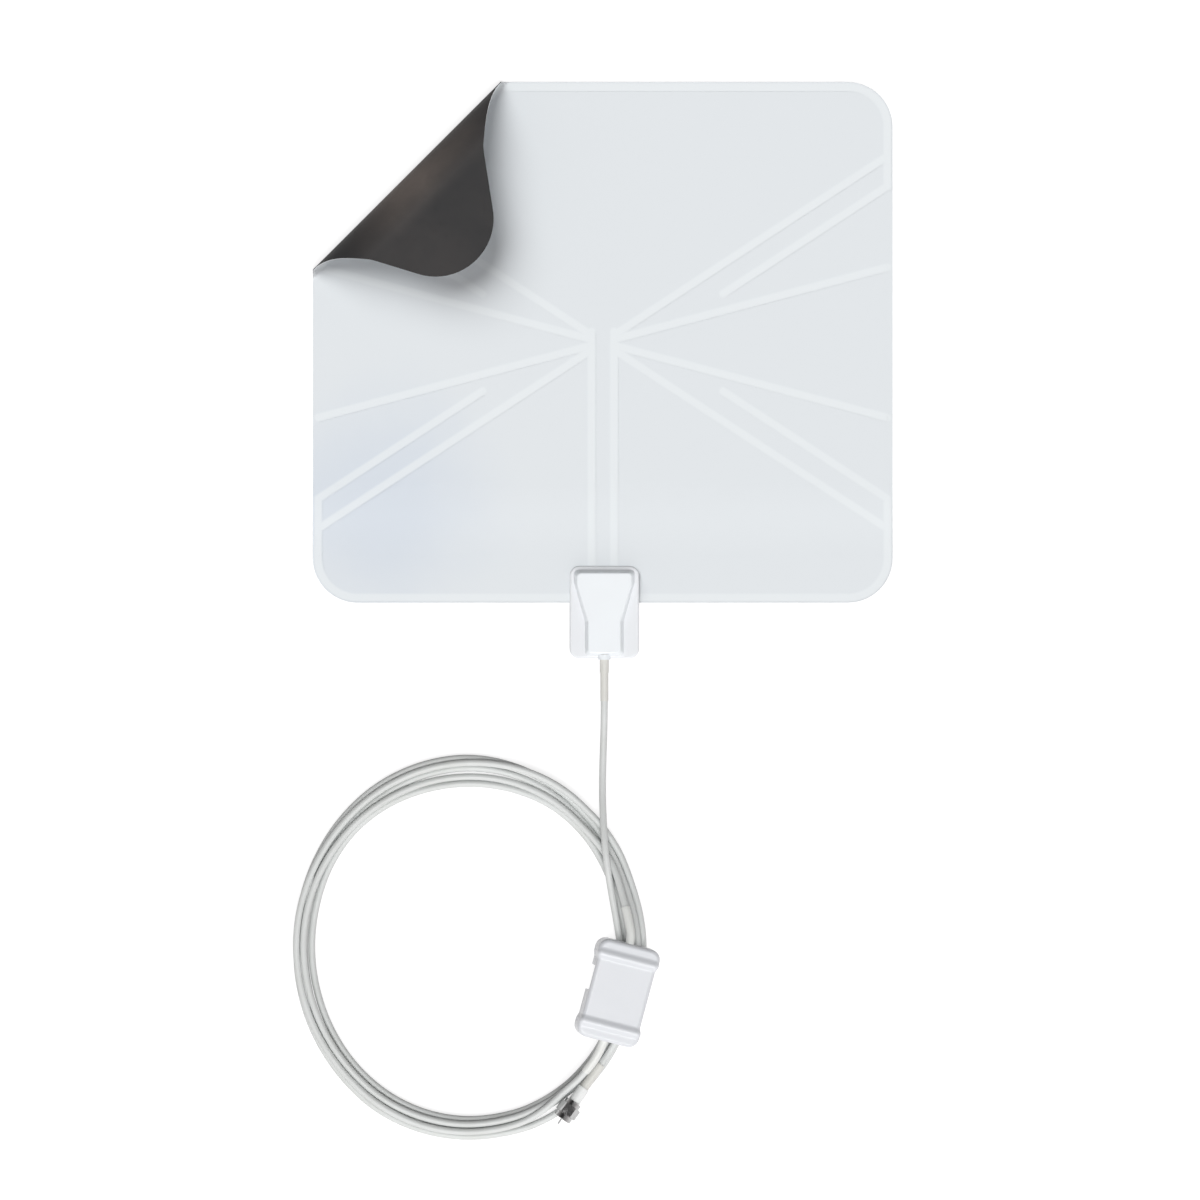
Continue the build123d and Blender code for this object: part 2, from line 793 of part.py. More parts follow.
socket_face = amp_width / 2 - amp_waist - notch_depth
socket_level = amp_board_level + socket_height / 2
socket_mouth = Plane(
    amp_origin - amp_across * socket_face + amp_up * socket_level + amp_along * notch_centre,
    x_dir=amp_along,
    z_dir=amp_across,
)

# Power socket, its mouth flush with the floor of the side recess
with BuildPart() as power_socket:
    with BuildSketch(socket_mouth):
        RectangleRounded(socket_width, socket_height, socket_height / 3)
    extrude(amount=socket_depth)
    with BuildSketch(socket_mouth):
        RectangleRounded(socket_width - 2 * socket_wall, socket_height - 2 * socket_wall, socket_height / 4)
    extrude(amount=socket_depth - socket_wall, mode=Mode.SUBTRACT)
power_socket.part.label = "power_socket"
export_step(power_socket.part, "parts/power_socket.step")

# Contact tongue in the power socket
with BuildPart() as power_tongue:
    with BuildSketch(socket_mouth.offset(socket_depth - socket_wall)):
        Rectangle(tongue_width, tongue_height)
    extrude(amount=-tongue_length)
power_tongue.part.label = "power_tongue"
export_step(power_tongue.part, "parts/power_tongue.step")


def amp_point(along):
    """Point on the amplifier's cable line, measured from its middle towards the coil's top."""
    return tuple(amp_origin + amp_along * along)


# Cable into the amplifier's upper end, with its strain relief
input_route = [
    amp_point(amp_length / 2 - cable_inside),
    amp_point(amp_length / 2 + input_straight),
    (12.4, -318.6, 14.2),
    (6.6, -299.4, 9.4),
    (-3.0, -284.6, 5.2),
]
with BuildPart() as input_cable:
    add_cable("input_cable", input_route)
input_cable.part.label = "input_cable"
export_step(input_cable.part, "parts/input_cable.step")

# Cable out of the amplifier's lower end, with its strain relief
output_route = [
    amp_point(-amp_length / 2 + cable_inside),
    amp_point(-amp_length / 2 - output_straight),
    (-10.8, -415.8, 13.2),
    (-21.0, -426.4, 9.6),
    (-33.0, -434.0, 5.4),
]
with BuildPart() as output_cable:
    add_cable("output_cable", output_route)
output_cable.part.label = "output_cable"
export_step(output_cable.part, "parts/output_cable.step")


def sleeve_route(route):
    """First stretch of a route, from inside the amplifier's wall to the middle of the second run."""
    inward = (Vector(route[1]) - Vector(route[0])).normalized()
    inside = Vector(route[0]) + inward * (cable_inside - amp_wall - sleeve_grip)
    halfway = (Vector(route[1]) + Vector(route[2])) / 2
    return [tuple(inside), route[1], tuple(halfway)]


def add_sleeve(route):
    """Adds the strain relief round the first bend of a cable to the part in hand."""
    stretch = sleeve_route(route)
    with BuildLine() as path:
        FilletPolyline(*stretch, radius=corner_radii(route)[:1])
    sweep(cable_face(stretch, sleeve_diameter, sleeve_bore), path=path.wire())


with BuildPart() as input_sleeve:
    add_sleeve(input_route)
input_sleeve.part.label = "input_sleeve"
export_step(input_sleeve.part, "parts/input_sleeve.step")

with BuildPart() as output_sleeve:
    add_sleeve(output_route)
output_sleeve.part.label = "output_sleeve"
export_step(output_sleeve.part, "parts/output_sleeve.step")

# The connector's axis runs out to the lower left and rises a little to lie on the coil
heading = radians(connector_turn)
pitch = radians(connector_pitch)
connector_axis = Vector(-sin(heading) * cos(pitch), -cos(heading) * cos(pitch), sin(pitch))
connector_across = Vector(cos(heading), -sin(heading), 0)
connector_origin = Vector(*connector_start)
connector_section = Plane(
    connector_origin,
    x_dir=connector_across,
    z_dir=connector_across.cross(connector_axis),
)
connector_line = Axis(connector_origin, connector_axis)
connector_base = Plane(connector_origin, x_dir=connector_across, z_dir=connector_axis)

boot_start = connector_sleeve_length
boot_end = boot_start + boot_length
post_start = boot_end - barrel_overlap
nut_start = boot_end + nut_gap
nut_hex_start = nut_start + nut_ring_length
nut_hex_end = nut_hex_start + nut_hex_length
nut_end = nut_hex_end + nut_collar_length
flange_start = nut_start + nut_shoulder + shoulder_gap
flange_end = flange_start + post_flange_thickness


def add_turned(steps):
    """Adds a piece turned about the connector's axis to the part in hand."""
    revolve(ring_profile(connector_section, steps), axis=connector_line)


# Sleeve on the cable behind the connector
with BuildPart() as connector_sleeve:
    add_turned([(0, boot_start, sleeve_bore / 2, connector_sleeve_diameter / 2)])
connector_sleeve.part.label = "connector_sleeve"
export_step(connector_sleeve.part, "parts/connector_sleeve.step")

# Boot over the cable's end and the post's barrel
with BuildPart() as connector_boot:
    add_turned(
        [
            (boot_start, post_start, sleeve_bore / 2, boot_diameter / 2),
            (post_start, boot_end, barrel_diameter / 2, boot_diameter / 2),
        ]
    )
connector_boot.part.label = "connector_boot"
export_step(connector_boot.part, "parts/connector_boot.step")

# Post: barrel in the boot and a flange that carries the nut
with BuildPart() as connector_post:
    add_turned(
        [
            (post_start, flange_start, dielectric_diameter / 2 + fit_gap, barrel_diameter / 2),
            (flange_start, flange_end, dielectric_diameter / 2 + fit_gap, post_flange_diameter / 2),
        ]
    )
connector_post.part.label = "connector_post"
export_step(connector_post.part, "parts/connector_post.step")

# Cable dielectric inside the post
with BuildPart() as connector_dielectric:
    add_turned([(post_start, flange_end, pin_wire / 2 + fit_gap, dielectric_diameter / 2)])
connector_dielectric.part.label = "connector_dielectric"
export_step(connector_dielectric.part, "parts/connector_dielectric.step")

# Centre conductor, which stands out of the nut as the pin
with BuildPart() as centre_pin:
    add_turned([(post_start, nut_end + pin_reach, 0, pin_wire / 2)])
    chamfer(centre_pin.edges().sort_by(connector_line)[-1], pin_wire / 4)
centre_pin.part.label = "centre_pin"
export_step(centre_pin.part, "parts/centre_pin.step")

# Coupling nut: rear ring, hexagon and front collar, free to spin on the post
with BuildPart() as coupling_nut:
    with BuildSketch(connector_base.offset(nut_hex_start)):
        RegularPolygon(nut_flats / 2, 6, major_radius=False)
    extrude(amount=nut_hex_length)
    corner_reach = nut_flats / sqrt(3)
    add_turned(
        [
            (nut_start, nut_hex_start, 0, nut_ring_diameter / 2),
            (nut_hex_end, nut_end, 0, nut_collar_diameter / 2),
        ]
    )
    with BuildSketch(connector_section):
        with BuildLine():
            Polyline(
                (0, nut_start),
                (corner_reach - 2 * nut_chamfer, nut_start),
                (corner_reach - 2 * nut_chamfer, nut_hex_start),
                (corner_reach, nut_hex_start + nut_chamfer),
                (corner_reach, nut_hex_end - nut_chamfer),
                (corner_reach - 2 * nut_chamfer, nut_hex_end),
                (corner_reach - 2 * nut_chamfer, nut_end),
                (0, nut_end),
                close=True,
            )
        make_face()
    revolve(axis=connector_line, mode=Mode.INTERSECT)
    bores = ring_profile(
        connector_section,
        [
            (nut_start, nut_start + nut_shoulder, 0, barrel_diameter / 2 + fit_gap),
            (nut_start + nut_shoulder, nut_end, 0, nut_bore / 2),
        ],
    )
    revolve(bores, axis=connector_line, mode=Mode.SUBTRACT)
coupling_nut.part.label = "coupling_nut"
export_step(coupling_nut.part, "parts/coupling_nut.step")


def connector_point(along):
    """Point on the connector's axis, measured from the start of its sleeve."""
    return tuple(connector_origin + connector_axis * along)


# Cable from the coil under the amplifier to the connector
connector_route = [
    connector_point(post_start),
    connector_point(-connector_tail),
    (8.6, -395.6, 5.4),
    (13.4, -382.0, 3.0),
]
with BuildPart() as connector_cable:
    add_cable("connector_cable", connector_route)
connector_cable.part.label = "connector_cable"
export_step(connector_cable.part, "parts/connector_cable.step")

# Coil: the outer shape of the wound cable, pressed down under the amplifier and the connector
with BuildPart() as cable_coil:
    with BuildSketch():
        with Locations(coil_outer_centre):
            Ellipse(coil_outer_half_width, coil_outer_half_length)
        with Locations(coil_inner_centre):
            Ellipse(coil_inner_half_width, coil_inner_half_length, mode=Mode.SUBTRACT)
    extrude(amount=coil_height)
    chamfer(cable_coil.edges(), coil_bevel)
    extrude(
        amp_outline(amp_plane.offset(-amp_half_height - coil_gap), -coil_gap),
        2 * amp_half_height,
        mode=Mode.SUBTRACT,
    )
    room = ring_profile(
        connector_section,
        [
            (0, boot_end, 0, boot_diameter / 2 + connector_clearance),
            (boot_end, nut_end + pin_reach, 0, nut_flats / sqrt(3) + connector_clearance),
        ],
    )
    revolve(room, axis=connector_line, mode=Mode.SUBTRACT)
cable_coil.part.label = "cable_coil"
export_step(cable_coil.part, "parts/cable_coil.step")
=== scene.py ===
"""Dresses the flat indoor television antenna: its cords, finishes, floor, light and camera."""

import logging
import math
from dataclasses import dataclass
from enum import Enum
from typing import Any

import bmesh
import bpy
from mathutils import Matrix, Vector

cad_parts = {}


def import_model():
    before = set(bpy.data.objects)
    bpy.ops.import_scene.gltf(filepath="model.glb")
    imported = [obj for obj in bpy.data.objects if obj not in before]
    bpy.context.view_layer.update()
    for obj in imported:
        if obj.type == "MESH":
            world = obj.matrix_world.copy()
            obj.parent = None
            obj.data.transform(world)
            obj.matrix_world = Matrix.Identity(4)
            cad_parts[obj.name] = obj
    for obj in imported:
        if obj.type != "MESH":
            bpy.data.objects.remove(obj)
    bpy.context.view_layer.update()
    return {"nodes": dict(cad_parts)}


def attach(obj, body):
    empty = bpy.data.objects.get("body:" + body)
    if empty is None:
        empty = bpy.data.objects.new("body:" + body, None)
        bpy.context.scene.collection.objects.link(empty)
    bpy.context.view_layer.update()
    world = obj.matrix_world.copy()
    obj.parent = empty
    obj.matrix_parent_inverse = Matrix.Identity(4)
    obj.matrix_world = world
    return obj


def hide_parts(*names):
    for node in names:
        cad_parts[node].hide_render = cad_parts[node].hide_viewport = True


LOG = logging.getLogger("antenna")

# The pieces' sizes are written in millimetres, and Blender works in metres. Vertices of a mesh
# that are nearer than WELD become one.
MM = 0.001
PER_METRE = 1000.0
WELD = 1e-7

Nodes = dict[str, bpy.types.Object]
Pair = tuple[float, float]
Triple = tuple[float, float, float]
Colour = tuple[float, float, float, float]

# Places in the frame that two sub-assemblies share, in millimetres: the middle of the amplifier's
# cable line, the start of the connector's sleeve, and the directions of both.
AMP_MIDDLE: Triple = (8.34185, -369.15955, 17.27846)
AMP_ALONG: Triple = (0.258819, 0.965926, 0.0)
CONNECTOR_START: Triple = (-1.2, -410.8, 6.8)
CONNECTOR_AXIS: Triple = (-0.584565, -0.804585, 0.104528)

# All noise has the same share of finer octaves, and it varies about this middle.
FINER_OCTAVES = 0.55
NOISE_MIDDLE = 0.5

# Sockets of a Mix node that mixes colours.
MIX_SHARE = 0
MIX_FIRST = 6
MIX_SECOND = 7
MIX_RESULT = 2


class Body(Enum):
    """Bodies of the frame that a piece can ride on."""

    ANTENNA = "antenna"
    NUT = "nut"


class Shutter(Enum):
    """Whether a lamp's list names the only pieces that it means, or those that it leaves out."""

    ONLY = "INCLUDE"
    ALL_BUT = "EXCLUDE"


class Slot(Enum):
    """Material slot names passed along with the new pieces, which take their finish from the finish
    itself.
    """

    AMP_PLASTIC = "amp_plastic"
    CABLE_JACKET = "cable_jacket"
    CREAM_SLEEVE = "cream_sleeve"
    NICKEL = "nickel"


# Shader graphs


class Value:
    """A number in a shader: each operator on it adds a Math node."""

    def __init__(self, graph: "Graph", socket: bpy.types.NodeSocket) -> None:
        """Wraps one output socket of a graph."""
        self.graph = graph
        self.socket = socket

    def __add__(self, other: "Value | float") -> "Value":
        """Sum."""
        return self.graph.math("ADD", self, other)

    def __radd__(self, other: float) -> "Value":
        """Sum with a plain number in front."""
        return self.graph.math("ADD", other, self)

    def __sub__(self, other: "Value | float") -> "Value":
        """Difference."""
        return self.graph.math("SUBTRACT", self, other)

    def __rsub__(self, other: float) -> "Value":
        """Difference from a plain number."""
        return self.graph.math("SUBTRACT", other, self)

    def __mul__(self, other: "Value | float") -> "Value":
        """Product."""
        return self.graph.math("MULTIPLY", self, other)

    def __rmul__(self, other: float) -> "Value":
        """Product with a plain number in front."""
        return self.graph.math("MULTIPLY", other, self)

    def __truediv__(self, other: "Value | float") -> "Value":
        """Quotient."""
        return self.graph.math("DIVIDE", self, other)

    def __abs__(self) -> "Value":
        """Absolute value."""
        return self.graph.math("ABSOLUTE", self)

    def least(self, other: "Value | float") -> "Value":
        """The smaller of two numbers."""
        return self.graph.math("MINIMUM", self, other)

    def most(self, other: "Value | float") -> "Value":
        """The larger of two numbers."""
        return self.graph.math("MAXIMUM", self, other)

    def root(self) -> "Value":
        """Square root."""
        return self.graph.math("SQRT", self)

    def wave(self) -> "Value":
        """Sine."""
        return self.graph.math("SINE", self)

    def held(self) -> "Value":
        """This number held between 0 and 1."""
        return self.least(1.0).most(0.0)

    def step(self, low: float, high: float) -> "Value":
        """Smooth step from 0 at low to 1 at high.

        Args:
            low: number that gives 0, which may be the larger one.
            high: number that gives 1.

        Returns:
            The eased share.
        """
        share = ((self - low) / (high - low)).held()
        return share * share * (3.0 - 2.0 * share)


class Graph:
    """The node tree of one material."""

    def __init__(self, tree: bpy.types.NodeTree) -> None:
        """Empties a node tree to fill it again."""
        self.tree = tree
        self.tree.nodes.clear()

    def node(
        self,
        kind: str,
        settings: dict[str, Any] | None = None,
        inputs: dict[str | int, Any] | None = None,
    ) -> bpy.types.Node:
        """Adds one node.

        Args:
            kind: Blender's type name of the node.
            settings: its properties, which are set first.
            inputs: values, wrapped numbers or sockets for its inputs, by name or number.

        Returns:
            The node.
        """
        made = self.tree.nodes.new(kind)
        for name, setting in (settings or {}).items():
            setattr(made, name, setting)
        for name, value in (inputs or {}).items():
            source = value.socket if isinstance(value, Value) else value
            if isinstance(source, bpy.types.NodeSocket):
                self.tree.links.new(source, made.inputs[name])
            else:
                made.inputs[name].default_value = source
        return made

    def math(self, operation: str, first: Value | float, second: Value | float = 0.0) -> Value:
        """Adds a Math node and wraps what it gives."""
        made = self.node("ShaderNodeMath", {"operation": operation}, {0: first, 1: second})
        return Value(self, made.outputs[0])

    def place(self) -> bpy.types.NodeSocket:
        """Place on the object, in metres, which is the place in the shared frame."""
        return self.node("ShaderNodeTexCoord").outputs["Object"]

    def axes(self) -> tuple[Value, Value, Value]:
        """Place on the object in millimetres.

        Returns:
            The place along x, y and z.
        """
        split = self.node("ShaderNodeSeparateXYZ", None, {0: self.place()})
        x, y, z = (Value(self, output) for output in split.outputs)
        return x * PER_METRE, y * PER_METRE, z * PER_METRE

    def noise(self, size: float, detail: float = 3.0) -> Value:
        """Noise from 0 to 1.

        Args:
            size: width of its blotches in millimetres.
            detail: octaves of finer noise.

        Returns:
            The noise.
        """
        made = self.node(
            "ShaderNodeTexNoise",
            None,
            {
                "Vector": self.place(),
                "Scale": 1.0 / (size * MM),
                "Detail": detail,
                "Roughness": FINER_OCTAVES,
            },
        )
        return Value(self, made.outputs[0])

    def mix(self, share: Value, first: Any, second: Any) -> bpy.types.NodeSocket:
        """Colour between two colours.

        Args:
            share: 0 for the first colour, 1 for the second.
            first: colour or colour socket.
            second: colour or colour socket.

        Returns:
            The mixed colour's socket.
        """
        made = self.node(
            "ShaderNodeMix",
            {"data_type": "RGBA"},
            {MIX_SHARE: share, MIX_FIRST: first, MIX_SECOND: second},
        )
        return made.outputs[MIX_RESULT]

    def bump(self, height: Value, strength: float, distance: float) -> bpy.types.NodeSocket:
        """Normal bent by a height.

        Args:
            height: height from 0 to 1.
            strength: share of the effect.
            distance: what a height of 1 stands for, in millimetres.

        Returns:
            The normal's socket.
        """
        made = self.node(
            "ShaderNodeBump",
            None,
            {"Height": height, "Strength": strength, "Distance": distance * MM},
        )
        return made.outputs["Normal"]

    def surface(self, inputs: dict[str | int, Any]) -> None:
        """Ends the tree in one Principled shader."""
        shader = self.node("ShaderNodeBsdfPrincipled", None, inputs)
        self.node("ShaderNodeOutputMaterial", None, {"Surface": shader.outputs[0]})


@dataclass(frozen=True)
class Tint:
    """A colour as it looks on a screen, from 0 to 255."""

    red: float
    green: float
    blue: float

    def paint(self) -> Colour:
        """The colour as a shader takes it.

        Returns:
            Its linear parts by the sRGB curve, and a full alpha.
        """
        parts = [channel / 255.0 for channel in (self.red, self.green, self.blue)]
        red, green, blue = (
            part / 12.92 if part <= 0.04045 else ((part + 0.055) / 1.055) ** 2.4 for part in parts
        )
        return red, green, blue, 1.0


# Finishes


@dataclass(frozen=True)
class Finish:
    """A procedural finish: subclasses fill its node tree."""

    name: str

    def material(self) -> bpy.types.Material:
        """Makes the finish's material the first time that it is asked for.

        Returns:
            The material.
        """
        made = bpy.data.materials.get(self.name)
        if made is None:
            made = bpy.data.materials.new(self.name)
            made.use_nodes = True
            self.fill(Graph(made.node_tree))
        return made

    def fill(self, graph: Graph) -> None:
        """Fills the node tree: each finish has its own way."""
        raise NotImplementedError


@dataclass(frozen=True)
class Blotches:
    """Soft blotches: their size in millimetres, their octaves, and the noise that gives 0 and 1."""

    size: float
    detail: float
    none: float
    full: float

    def mask(self, graph: Graph) -> Value:
        """0 between the blotches and 1 on them."""
        return graph.noise(self.size, self.detail).step(self.none, self.full)


@dataclass(frozen=True)
class Grain:
    """Fine grain in a surface: its size in millimetres, octaves, share and depth in millimetres."""

    size: float
    detail: float
    share: float
    depth: float

    def normal(self, graph: Graph) -> bpy.types.NodeSocket:
        """Normal bent by the grain."""
        return graph.bump(graph.noise(self.size, self.detail), self.share, self.depth)


@dataclass(frozen=True)
class FoilLines:
    """Plan of the foil lines that show through the front film, in millimetres."""

    panel: Pair = (330.0, 296.5)
    corner: float = 25.5
    width: float = 4.3
    margin: float = 0.8
    feed: float = 6.4
    feed_top: float = 6.2
    feed_end: float = -142.5
    side: float = 162.05
    outer_slope: float = 0.6544
    inner_slope: float = 0.2642
    hook_start: float = 68.5
    hook_drop: float = 17.09
    border_ease: float = 2.0
    border_off: float = 40.0
    softness: float = 0.9

    def line(self, x: Value, y: Value, start: Pair, end: Pair) -> Value:
        """Distance to one straight line.

        Args:
            x: place across the panel.
            y: place up the panel.
            start: one end of the line.
            end: its other end.

        Returns:
            The distance in millimetres.
        """
        run = (end[0] - start[0], end[1] - start[1])
        across = x - start[0]
        along = y - start[1]
        share = ((across * run[0] + along * run[1]) / (run[0] ** 2 + run[1] ** 2)).held()
        across = across - share * run[0]
        along = along - share * run[1]
        return (across * across + along * along).root()

    def inset(self, x: Value, y: Value) -> Value:
        """Distance in from the panel's rounded edge.

        Args:
            x: place across the panel, without its sign.
            y: place up the panel, without its sign.

        Returns:
            The distance in millimetres.
        """
        past_x = x - (self.panel[0] / 2 - self.corner)
        past_y = y - (self.panel[1] / 2 - self.corner)
        round_x = past_x.most(0.0)
        round_y = past_y.most(0.0)
        outside = (round_x * round_x + round_y * round_y).root() + past_x.most(past_y).least(0.0)
        return self.corner - outside

    def mask(self, graph: Graph) -> Value:
        """1 on the lines and 0 between them.

        Args:
            graph: node tree that asks.

        Returns:
            The mask.
        """
        x, y, _ = graph.axes()
        mirrored_x = abs(x)
        mirrored_y = abs(y)
        hook_end = self.side * self.outer_slope - self.hook_drop
        hook = (self.hook_start, self.hook_start * self.outer_slope - self.hook_drop)
        arms = (
            ((self.feed, self.feed * self.outer_slope), (self.side, self.side * self.outer_slope)),
            ((self.feed, self.feed * self.inner_slope), (self.side, self.side * self.inner_slope)),
            (hook, (self.side, hook_end)),
        )
        reach = self.line(mirrored_x, y, (self.feed, self.feed_top), (self.feed, self.feed_end))
        for start, end in arms:
            reach = reach.least(self.line(mirrored_x, mirrored_y, start, end))
        border = abs(self.inset(mirrored_x, mirrored_y) - (self.margin + self.width / 2))
        between_hooks = mirrored_y.step(hook_end, hook_end - self.border_ease)
        reach = reach.least(border + self.border_off * between_hooks)
        half = self.width / 2
        return reach.step(half + self.softness, half - self.softness)


@dataclass(frozen=True)
class FrontFilm(Finish):
    """White satin film with a painted bluish light cast near one corner; the foil lines show paler
    through it.
    """

    body: Tint = Tint(213, 218, 221)
    # Painted light: a bluish cast near the lower left corner, given by its colour, middle, reach, share
    # and ragged edge.
    painted_blue_cast: Tint = Tint(200, 208, 217)
    painted_cast_place: Pair = (-128.0, -92.0)
    painted_cast_reach: Pair = (88.0, 10.0)
    painted_cast_share: float = 0.8
    painted_cast_ragged: float = 50.0
    painted_cast_noise: float = 70.0
    line: Tint = Tint(222, 227, 229)
    line_share: float = 0.65
    lines: FoilLines = FoilLines()
    roughness: float = 0.5
    uneven: float = 0.08
    uneven_noise: float = 14.0
    grain: Grain = Grain(0.9, 4.0, 0.06, 0.06)
    specular: float = 0.4

    def fill(self, graph: Graph) -> None:
        """Fills the node tree.

        Args:
            graph: the material's node tree.
        """
        x, y, _ = graph.axes()
        # Painted light: the film's colour turns bluer towards its lower left corner.
        far_x = x - self.painted_cast_place[0]
        far_y = y - self.painted_cast_place[1]
        ragged = self.painted_cast_ragged * (graph.noise(self.painted_cast_noise) - NOISE_MIDDLE)
        spread = (far_x * far_x + far_y * far_y).root() + ragged
        painted_cast = spread.step(*self.painted_cast_reach) * self.painted_cast_share
        tone = graph.mix(painted_cast, self.body.paint(), self.painted_blue_cast.paint())
        showing = self.lines.mask(graph) * self.line_share
        patches = self.uneven * (graph.noise(self.uneven_noise) - NOISE_MIDDLE)
        graph.surface(
            {
                "Base Color": graph.mix(showing, tone, self.line.paint()),
                "Roughness": self.roughness + patches,
                "Normal": self.grain.normal(graph),
                "Specular IOR Level": self.specular,
            }
        )


@dataclass(frozen=True)
class BackFilm(Finish):
    """Black satin film with fine handling marks, a painted warm sheen along its rolled-over fold, and
    faint warm clouding.
    """

    body: Tint = Tint(45, 45, 46)
    # Colour of the painted sheen along the fold; a small share of it also gives the random clouding.
    sheen_and_cloud_tint: Tint = Tint(104, 96, 91)
    painted_sheen_middle: Pair = (-109.4, 92.65)
    painted_sheen_reach: Pair = (64.0, 23.0)
    painted_sheen_clouded: float = 0.4
    cloud: Blotches = Blotches(55.0, 4.0, 0.35, 0.75)
    cloud_share: float = 0.12
    rub: Blotches = Blotches(6.0, 5.0, 0.5, 0.85)
    rub_dull: float = 0.12
    roughness: float = 0.62
    grain: Grain = Grain(0.8, 4.0, 0.07, 0.05)
    specular: float = 0.22

    def fill(self, graph: Graph) -> None:
        """Fills the node tree.

        Args:
            graph: the material's node tree.
        """
        # Painted sheen: the colour turns lighter and warmer along the rolled fold, patchy with the
        # clouding.
        x, y, _ = graph.axes()
        diagonal = math.sqrt(0.5)
        right = (x - self.painted_sheen_middle[0]) * diagonal
        up = (y - self.painted_sheen_middle[1]) * diagonal
        along = abs(right + up).step(self.painted_sheen_reach[0], 0.0)
        across = abs(right - up).step(self.painted_sheen_reach[1], 0.0)
        cloud = self.cloud.mask(graph)
        painted_sheen = along * across * (1.0 - self.painted_sheen_clouded + self.painted_sheen_clouded * cloud)
        sheen_and_cloud = (painted_sheen + self.cloud_share * cloud).held()
        graph.surface(
            {
                "Base Color": graph.mix(sheen_and_cloud, self.body.paint(), self.sheen_and_cloud_tint.paint()),
                "Roughness": self.roughness + self.rub_dull * self.rub.mask(graph),
                "Normal": self.grain.normal(graph),
                "Specular IOR Level": self.specular,
            }
        )


@dataclass(frozen=True)
class MouldedPlastic(Finish):
    """Moulded plastic with a fine spark-eroded grain, a slight unevenness of tone, and painted shade with
    a duller finish below a given height.
    """

    body: Tint
    shade: Tint
    roughness: float
    grain: float
    relief: float
    coat: float = 0.0
    # Below this height the colour takes painted shade and the roughness is duller.
    shade_and_matte_below: float = -1000.0
    shade_and_matte_ease: float = 0.8
    matte_dull: float = 0.1
    flow: Blotches = Blotches(22.0, 2.0, 0.3, 0.8)
    flow_share: float = 0.3
    grain_detail: float = 2.0
    grain_depth: float = 0.03
    uneven: float = 0.1
    coat_roughness: float = 0.15

    def fill(self, graph: Graph) -> None:
        """Fills the node tree.

        Args:
            graph: the material's node tree.
        """
        speck = graph.noise(self.grain, self.grain_detail)
        height = graph.axes()[2]
        # Painted shade: below the given height the colour turns to the shade tint; the roughness there is
        # also duller.
        shade_and_matte = height.step(self.shade_and_matte_below + self.shade_and_matte_ease, self.shade_and_matte_below - self.shade_and_matte_ease)
        shaded = (self.flow.mask(graph) * self.flow_share + shade_and_matte).held()
        uneven = self.uneven * (speck - NOISE_MIDDLE)
        graph.surface(
            {
                "Base Color": graph.mix(shaded, self.body.paint(), self.shade.paint()),
                "Roughness": self.roughness + uneven + self.matte_dull * shade_and_matte,
                "Normal": graph.bump(speck, self.relief, self.grain_depth),
                "Coat Weight": self.coat,
                "Coat Roughness": self.coat_roughness,
            }
        )


@dataclass(frozen=True)
class CableJacket(Finish):
    """Soft extruded jacket: slight waves in tone, fine grain and rubbed patches."""

    body: Tint = Tint(202, 205, 204)
    shade: Tint = Tint(191, 194, 191)
    tone: Blotches = Blotches(34.0, 3.0, 0.35, 0.75)
    tone_share: float = 0.6
    rub: Blotches = Blotches(7.0, 4.0, 0.5, 0.8)
    rub_dull: float = 0.14
    roughness: float = 0.48
    grain: Grain = Grain(0.5, 3.0, 0.08, 0.04)

    def fill(self, graph: Graph) -> None:
        """Fills the node tree.

        Args:
            graph: the material's node tree.
        """
        shaded = self.tone.mask(graph) * self.tone_share
        graph.surface(
            {
                "Base Color": graph.mix(shaded, self.body.paint(), self.shade.paint()),
                "Roughness": self.roughness + self.rub_dull * self.rub.mask(graph),
                "Normal": self.grain.normal(graph),
            }
        )


@dataclass(frozen=True)
class PlatedMetal(Finish):
    """Plated metal with turning marks and duller, darker spots."""

    body: Tint
    tarnish: Tint
    roughness: float
    marks: float
    marks_along: Triple = (0.585, 0.805, -0.105)
    marks_share: float = 0.04
    marks_depth: float = 0.01
    spots: Blotches = Blotches(3.0, 3.0, 0.45, 0.85)
    spots_share: float = 0.5
    spots_dull: float = 0.14

    def fill(self, graph: Graph) -> None:
        """Fills the node tree.

        Args:
            graph: the material's node tree.
        """
        spots = self.spots.mask(graph)
        x, y, z = graph.axes()
        along = x * self.marks_along[0] + y * self.marks_along[1] + z * self.marks_along[2]
        turning = (along * (math.tau / self.marks)).wave()
        graph.surface(
            {
                "Base Color": graph.mix(
                    spots * self.spots_share, self.body.paint(), self.tarnish.paint()
                ),
                "Metallic": 1.0,
                "Roughness": self.roughness + self.spots_dull * spots,
                "Normal": graph.bump(0.5 + 0.5 * turning, self.marks_share, self.marks_depth),
            }
        )


@dataclass(frozen=True)
class CircuitBoard(Finish):
    """Green solder mask over copper lines."""

    body: Tint = Tint(26, 92, 58)
    copper: Tint = Tint(48, 122, 74)
    pitch: float = 2.2
    bends: Blotches = Blotches(9.0, 1.0, 0.42, 0.5)
    track_edge: Pair = (0.2, 0.4)
    track_share: float = 0.3
    track_depth: float = 0.04
    roughness: float = 0.35
    uneven: float = 0.1
    uneven_noise: float = 1.5

    def fill(self, graph: Graph) -> None:
        """Fills the node tree.

        Args:
            graph: the material's node tree.
        """
        x, y, _ = graph.axes()
        bend = self.bends.mask(graph)
        across = (x * (math.tau / self.pitch)).wave()
        along = (y * (math.tau / self.pitch)).wave()
        track = (across * bend + along * (1.0 - bend)).step(*self.track_edge)
        graph.surface(
            {
                "Base Color": graph.mix(track, self.body.paint(), self.copper.paint()),
                "Roughness": self.roughness + self.uneven * graph.noise(self.uneven_noise),
                "Normal": graph.bump(track, self.track_share, self.track_depth),
            }
        )


